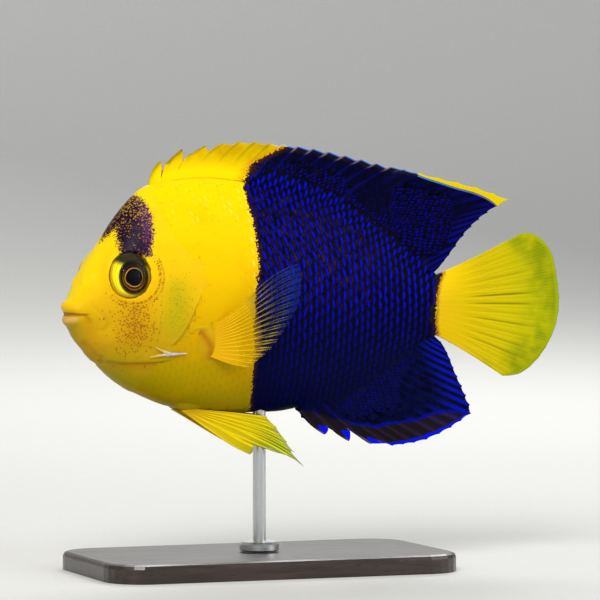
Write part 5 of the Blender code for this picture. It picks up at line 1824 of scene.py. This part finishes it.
SHEATH_PITCH = 1.6
SHEATH_ROW = 0.62
SHEATH_ROWS = 48
SHEATH_REACH = 24
SHEATH_LIFT = 0.06
DORSAL_COVER = ([0, 3, 13, 20, 24, 30], [0.5, 0.7, 0.84, 0.86, 0.8, 0.62])
ANAL_COVER = ([0, 4, 10, 15, 19], [0.3, 0.6, 0.66, 0.62, 0.5])
rng = np.random.default_rng(23)
for word, roots, tips, cover, edge_line, span, beyond in (
    (
        "dorsal", dorsal_root, dorsal_tip, DORSAL_COVER, back_line, (DORSAL_START, DORSAL_END),
        SHEATH_UP - 1.5,
    ),
    (
        "anal", anal_root, anal_tip, ANAL_COVER, belly_line, (ANAL_START, ANAL_END),
        SHEATH_DOWN - 1.2,
    ),
):
    steps = np.arange(len(roots))
    upward = 1 if word == "dorsal" else -1
    lengths = np.linalg.norm(tips - roots, axis=1)

    def on_fin(out, number):
        """Straight points on a fin's right face, at a distance out along a ray of any number."""
        n = np.clip(number, 0, steps[-1])
        root, tip = (
            np.stack([np.interp(n, steps, ends[:, k]) for k in (0, 1)], -1)
            for ends in (roots, tips)
        )
        way = tip - root
        flat = root + way / np.linalg.norm(way, axis=-1, keepdims=True) * out[..., None]
        rise = (flat[..., 1] - edge_line(flat[..., 0])) * upward
        y = MEMBRANE_HALF + 0.08 + fin_root(flat[..., 0], rise, *span)
        return np.stack([flat[..., 0], y, flat[..., 1]], -1)

    third = roots + 0.35 * (tips - roots)
    base = np.concatenate([[0], np.cumsum(np.linalg.norm(np.diff(third, axis=0), axis=1))])
    out_all, number_all = [], []
    for row in range(SHEATH_ROWS):
        out = 1.0 + SHEATH_PITCH * 0.5 * row
        n = np.interp(np.arange(0, base[-1], 2 * SHEATH_ROW) + (row % 2) * SHEATH_ROW, base, steps)
        limit = np.interp(n, steps, lengths * np.interp(steps, *cover))
        keep = out < limit - 0.6 - rng.uniform(0, 4.5, len(n))
        out_all.append(np.full(keep.sum(), out))
        number_all.append(n[keep])
    out, number = np.concatenate(out_all), np.concatenate(number_all)
    centre = on_fin(out, number)
    rise = (centre[:, 2] - edge_line(centre[:, 0])) * upward
    keep = (rise > beyond) & (blue_from(centre[:, 0], centre[:, 2]) > 0.2)
    out, number, centre = out[keep], number[keep], centre[keep]
    out = out + rng.uniform(-0.35, 0.35, len(out))
    number = number + rng.uniform(-0.07, 0.07, len(out))
    width = np.interp(number, steps[:-1] + 0.5, np.linalg.norm(np.diff(third, axis=0), axis=1))
    limit = np.interp(number, steps, lengths * np.interp(steps, *cover))
    strength = (0.55 if word == "dorsal" else 0.3) * rng.uniform(0.3, 1.0, len(out))
    strength = strength * (0.35 + 0.65 * smooth_step(limit - out, 0, 6.0))
    tone = np.stack([strength, 0.15 * rng.uniform(0, 1, len(out)), np.zeros(len(out))], 1)
    patch_place = np.stack([0.02 + 0.96 * number / steps[-1], 0.03 + 0.94 * out / SHEATH_REACH], 1)
    for side, hand in SIDES:
        made = plates(
            f"{word}_sheath_{hand}", on_fin, side, out, number, SHEATH_PITCH * 0.62,
            SHEATH_ROW / width, SHEATH_LIFT, (0.5, 0.26 / width), 0.0, tone, blue_from, patch_place,
        )
        made.data.materials.append(scale_paint)
        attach(made, "root")

# The paired fins: pectorals and pelvics cast in clear tinted resin, so thin between the rays
# that what is behind shows through, each on a fleshy root blended into the skin.

PECTORAL_RAYS = 16
FIN_ROWS = 34
PECTORAL_COLUMNS, PELVIC_COLUMNS = 8, 12
PELVIC_FOLD = 0.9
PECTORAL_TIPS = [
    (52.0, -16.2, 10.0), (52.8, -16.6, 6.5), (52.2, -16.4, 1.5), (49.8, -15.6, -3.6),
    (46.0, -14.4, -9.0), (41.0, -12.8, -13.4)
]
PELVIC_ROOT = ((29.2, -2.6, -23.4), (31.6, -2.9, -23.1))
PELVIC_NOTCHES = (0.24, 0.1, 0.08, 0.04, 0.03, 0.03)
# For each ray its length, and how steeply its root and its tip slope down
PELVIC_RAYS = (
    (19.8, 34.5, 31.8), (25.9, 26.0, 23.3), (32.4, 19.5, 25.0), (28.7, 17.0, 21.5),
    (25.7, 14.0, 18.4), (21.8, 10.0, 12.2), (18.6, 6.0, 6.6)
)


def tinted_membrane(
    name, ray_stops, web_stops, reach, clear_from, clear_to, web_cover, ray_cover, ray_from=0.15,
):
    """Clear tinted resin: solid colour at the root, then pale rays with clear webs between."""
    material, tree, shader = coating(name)
    ray = add(tree, "Attribute", out="Vector", attribute_name="ray")
    ridge, out = (add(tree, "SeparateXYZ", {0: ray}, out=k) for k in "XY")
    share = add(tree, "MapRange", {0: out, 1: 0.0, 2: reach})
    rays, webs = (
        add(tree, "ValToRGB", {0: share}, stops=stops)
        for stops in (ray_stops, web_stops)
    )
    on_ray = add(tree, "MapRange", {0: ridge, 1: ray_from, 2: ray_from + 0.5}, **SOFT_EDGED)
    clearing = add(tree, "MapRange", {0: out, 1: clear_from, 2: clear_to}, **SOFT_EDGED)
    web_alpha, ray_alpha = (
        add(tree, "MapRange", {0: clearing, 3: 1.0, 4: cover})
        for cover in (web_cover, ray_cover)
    )
    alpha = add(tree, "Mix", {0: on_ray, 2: web_alpha, 3: ray_alpha}, data_type="FLOAT")
    wire(
        tree, shader,
        {
            "Base Color": coated(tree, webs, rays, on_ray), "Alpha": alpha, "Roughness": 0.5,
            "IOR": LACQUER_IOR, "Specular IOR Level": 0.1,
        },
    )
    return material


pectoral_resin = tinted_membrane(
    "clear_tinted_resin_pectoral",
    [
        (0.0, "#DCA400"), (0.14, "#EBB400"), (0.3, "#F8C800"), (0.48, "#EABC00"), (0.6, "#A8901C"),
        (0.75, "#55553C"), (0.88, "#2A3468"), (1.0, "#16307A"),
    ],
    [
        (0.0, "#DCA400"), (0.14, "#E6AE00"), (0.3, "#F0BE00"), (0.47, "#DCAC00"), (0.56, "#1A1A30"),
        (0.75, "#0A1040"), (1.0, "#0E2878"),
    ],
    24.0, 1.0, 10.5, 0.16, 0.6, 0.42,
)
pelvic_resin = tinted_membrane(
    "clear_tinted_resin_pelvic",
    [(0.0, "#C09A00"), (0.2, "#F0C800"), (0.6, "#ECD200"), (0.85, "#D8D618"), (1.0, "#C4C840")],
    [(0.0, "#B08C00"), (0.3, "#D4B600"), (0.58, "#C2B000"), (0.78, "#8A9A10"), (1.0, "#4E7A18")],
    30.0, 16.0, 24.0, 0.7, 1.0,
)

for side, word in SIDES:
    number, t, radius, ridge, reach = rayed(
        0, PECTORAL_RAYS, PECTORAL_COLUMNS, FIN_ROWS, [0.015] * PECTORAL_RAYS, (0.24, 0.24),
        (0.34, 1.5), 0.5,
    )
    share = number / (PECTORAL_RAYS - 1)
    first, last = (np.array(p) for p in PECTORAL_ROOT)
    root = first + (last - first) * (0.06 + 0.84 * share)[:, None] + (-1.0, 0.9, 0)
    tip = along(PECTORAL_TIPS, share)
    bow = np.stack([0 * share, np.full_like(share, -1.5), 0.3 - 0.8 * share], 1)
    sweep_up = np.array((0, 0, 1.0)) * (-1.2 * (1 - share) ** 2)[:, None]
    middle = root[:, None] + (tip - root)[:, None] * t[..., None]
    middle = middle + bow[:, None] * np.sin(math.pi * t)[..., None]
    middle = middle + sweep_up[:, None] * np.sin(2 * math.pi * t)[..., None]
    length = np.linalg.norm(tip - root, axis=1)[:, None]
    out, margin, ray = ray_places(t, reach, length, ridge)
    flesh = np.exp(-out / 1.8)
    half = 0.08 + (radius * 0.5 - 0.04) * ridge * smooth_step(out, 1.0, 6.0) + 0.25 * flesh
    half = np.minimum(half, 0.06 + 0.5 * margin)
    fin = vane(f"pectoral_fin_{word}_vane", middle * (1, -side, 1), half, {"ray": ray})
    fin.data.materials.append(pectoral_resin)
    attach(fin, "root")
    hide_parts(f"pectoral_fin_{word}")

    fold = PELVIC_FOLD if side == RIGHT else 1.0
    number, t, radius, ridge, reach = rayed(
        1, len(PELVIC_RAYS), PELVIC_COLUMNS, FIN_ROWS, PELVIC_NOTCHES, (0.42, 0.36), (0.45, 3.2),
        0.35,
    )
    first, last = (np.array(p) for p in PELVIC_ROOT)
    lengths, slopes, tip_slopes = (
        np.interp(number, np.arange(len(PELVIC_RAYS)), [r[k] for r in PELVIC_RAYS])[:, None]
        for k in range(3)
    )
    angle = np.radians(fold * (slopes + (tip_slopes - slopes) * t ** 4))
    root = first + (last - first) * (number / (len(PELVIC_RAYS) - 1))[:, None]
    root = root[:, None] + np.array((-0.6, 0.1, 0.25))
    middle = root + np.stack(
        [np.cos(angle) * lengths * t, -0.5 * t, -np.sin(angle) * lengths * t], -1,
    )
    out, margin, ray = ray_places(t, reach, lengths, ridge)
    flesh = np.exp(-out / 2.0)
    half = np.minimum(
        0.12 + (radius * 0.85 - 0.08) * ridge * (1 - flesh) + 0.55 * flesh, 0.08 + 0.5 * margin,
    )
    fin = vane(f"pelvic_fin_{word}_vane", middle * (1, -side, 1), half, {"ray": ray})
    fin.data.materials.append(pelvic_resin)
    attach(fin, "root")
    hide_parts(f"pelvic_fin_{word}")

# The place it stands: a plain pale table and backdrop in one sweep, under a large soft lamp in
# front and above, a weaker one on the other side and a narrow one behind.

SWEEP = ((-1.2, 0), (0.6, 0), (0.95, 0.03), (1.12, 0.12), (1.2, 0.3), (1.24, 1.5))
SWEEP_HALF = 1.6
PAPER_FIBRES_PER_METRE = 900.0
floor_points = [(x, y, z) for y, z in SWEEP for x in (-SWEEP_HALF, SWEEP_HALF)]
floor = put(
    "floor", floor_points, [[2 * i, 2 * i + 1, 2 * i + 3, 2 * i + 2] for i in range(len(SWEEP) - 1)]
)
worked(floor, "SUBSURF", levels=3, render_levels=3)


def matt_paper():
    """Matt photographer's paper: pale, even and without shine."""
    material, tree, shader = coating("matt_pale_paper")
    fibre = add(
        tree, "TexNoise",
        {
            "Vector": add(tree, "TexCoord", out="Object"), "Scale": PAPER_FIBRES_PER_METRE,
            "Detail": 2.0,
        },
    )
    colour = add(tree, "ValToRGB", {0: fibre}, stops=[(0.3, "#D9D8D4"), (0.7, "#DDDCD8")])
    wire(tree, shader, {"Base Color": colour, "Roughness": 0.95, "Specular IOR Level": 0.1})
    return material


floor.data.materials.append(matt_paper())


def lamp(name, power, size, at, towards):
    """A soft rectangular lamp that looks at a point."""
    light = bpy.data.lights.new(name, "AREA")
    light.energy, light.size = power, size
    obj = bpy.data.objects.new(name, light)
    bpy.context.scene.collection.objects.link(obj)
    obj.location = at
    way = np.array(towards) - np.array(at)
    obj.rotation_euler = (
        math.atan2(math.hypot(way[0], way[1]), -way[2]), 0, math.atan2(way[1], way[0]) - math.pi / 2
    )


lamp("front_lamp", 8.6, 0.5, (-0.45, -0.75, 0.75), (0, 0, 0.06))
lamp("side_lamp", 3.0, 0.6, (0.75, -0.5, 0.4), (0, 0, 0.06))
lamp("back_lamp", 4.0, 0.4, (0.3, 0.6, 0.6), (0, 0, 0.07))
world = bpy.data.worlds.new("room")
world.use_nodes = True
world.node_tree.nodes["Background"].inputs["Color"].default_value = pigment("#E8ECF0")
world.node_tree.nodes["Background"].inputs["Strength"].default_value = 0.45
bpy.context.scene.world = world
bpy.context.scene.view_settings.view_transform = "Standard"

# The camera stands where the photographer's did: a metre off, a little ahead of the fish's left
# side and just above its middle, with a long lens.

VIEW_TURN = math.radians(-21)
VIEW_RISE = math.radians(2)
VIEW_DISTANCE = 1.0
SENSOR_MM, LENS_MM = 36.0, 262.8
AIM = np.array((0.01026, 0.00086, 0.06314))
camera = bpy.data.objects.new("camera", bpy.data.cameras.new("camera"))
bpy.context.scene.collection.objects.link(camera)
camera.data.sensor_width, camera.data.lens = SENSOR_MM, LENS_MM
level = math.cos(VIEW_RISE)
back = np.array((math.sin(VIEW_TURN) * level, -math.cos(VIEW_TURN) * level, math.sin(VIEW_RISE)))
camera.location = AIM + back * VIEW_DISTANCE
camera.rotation_euler = (math.pi / 2 - VIEW_RISE, 0, VIEW_TURN)
bpy.context.scene.camera = camera
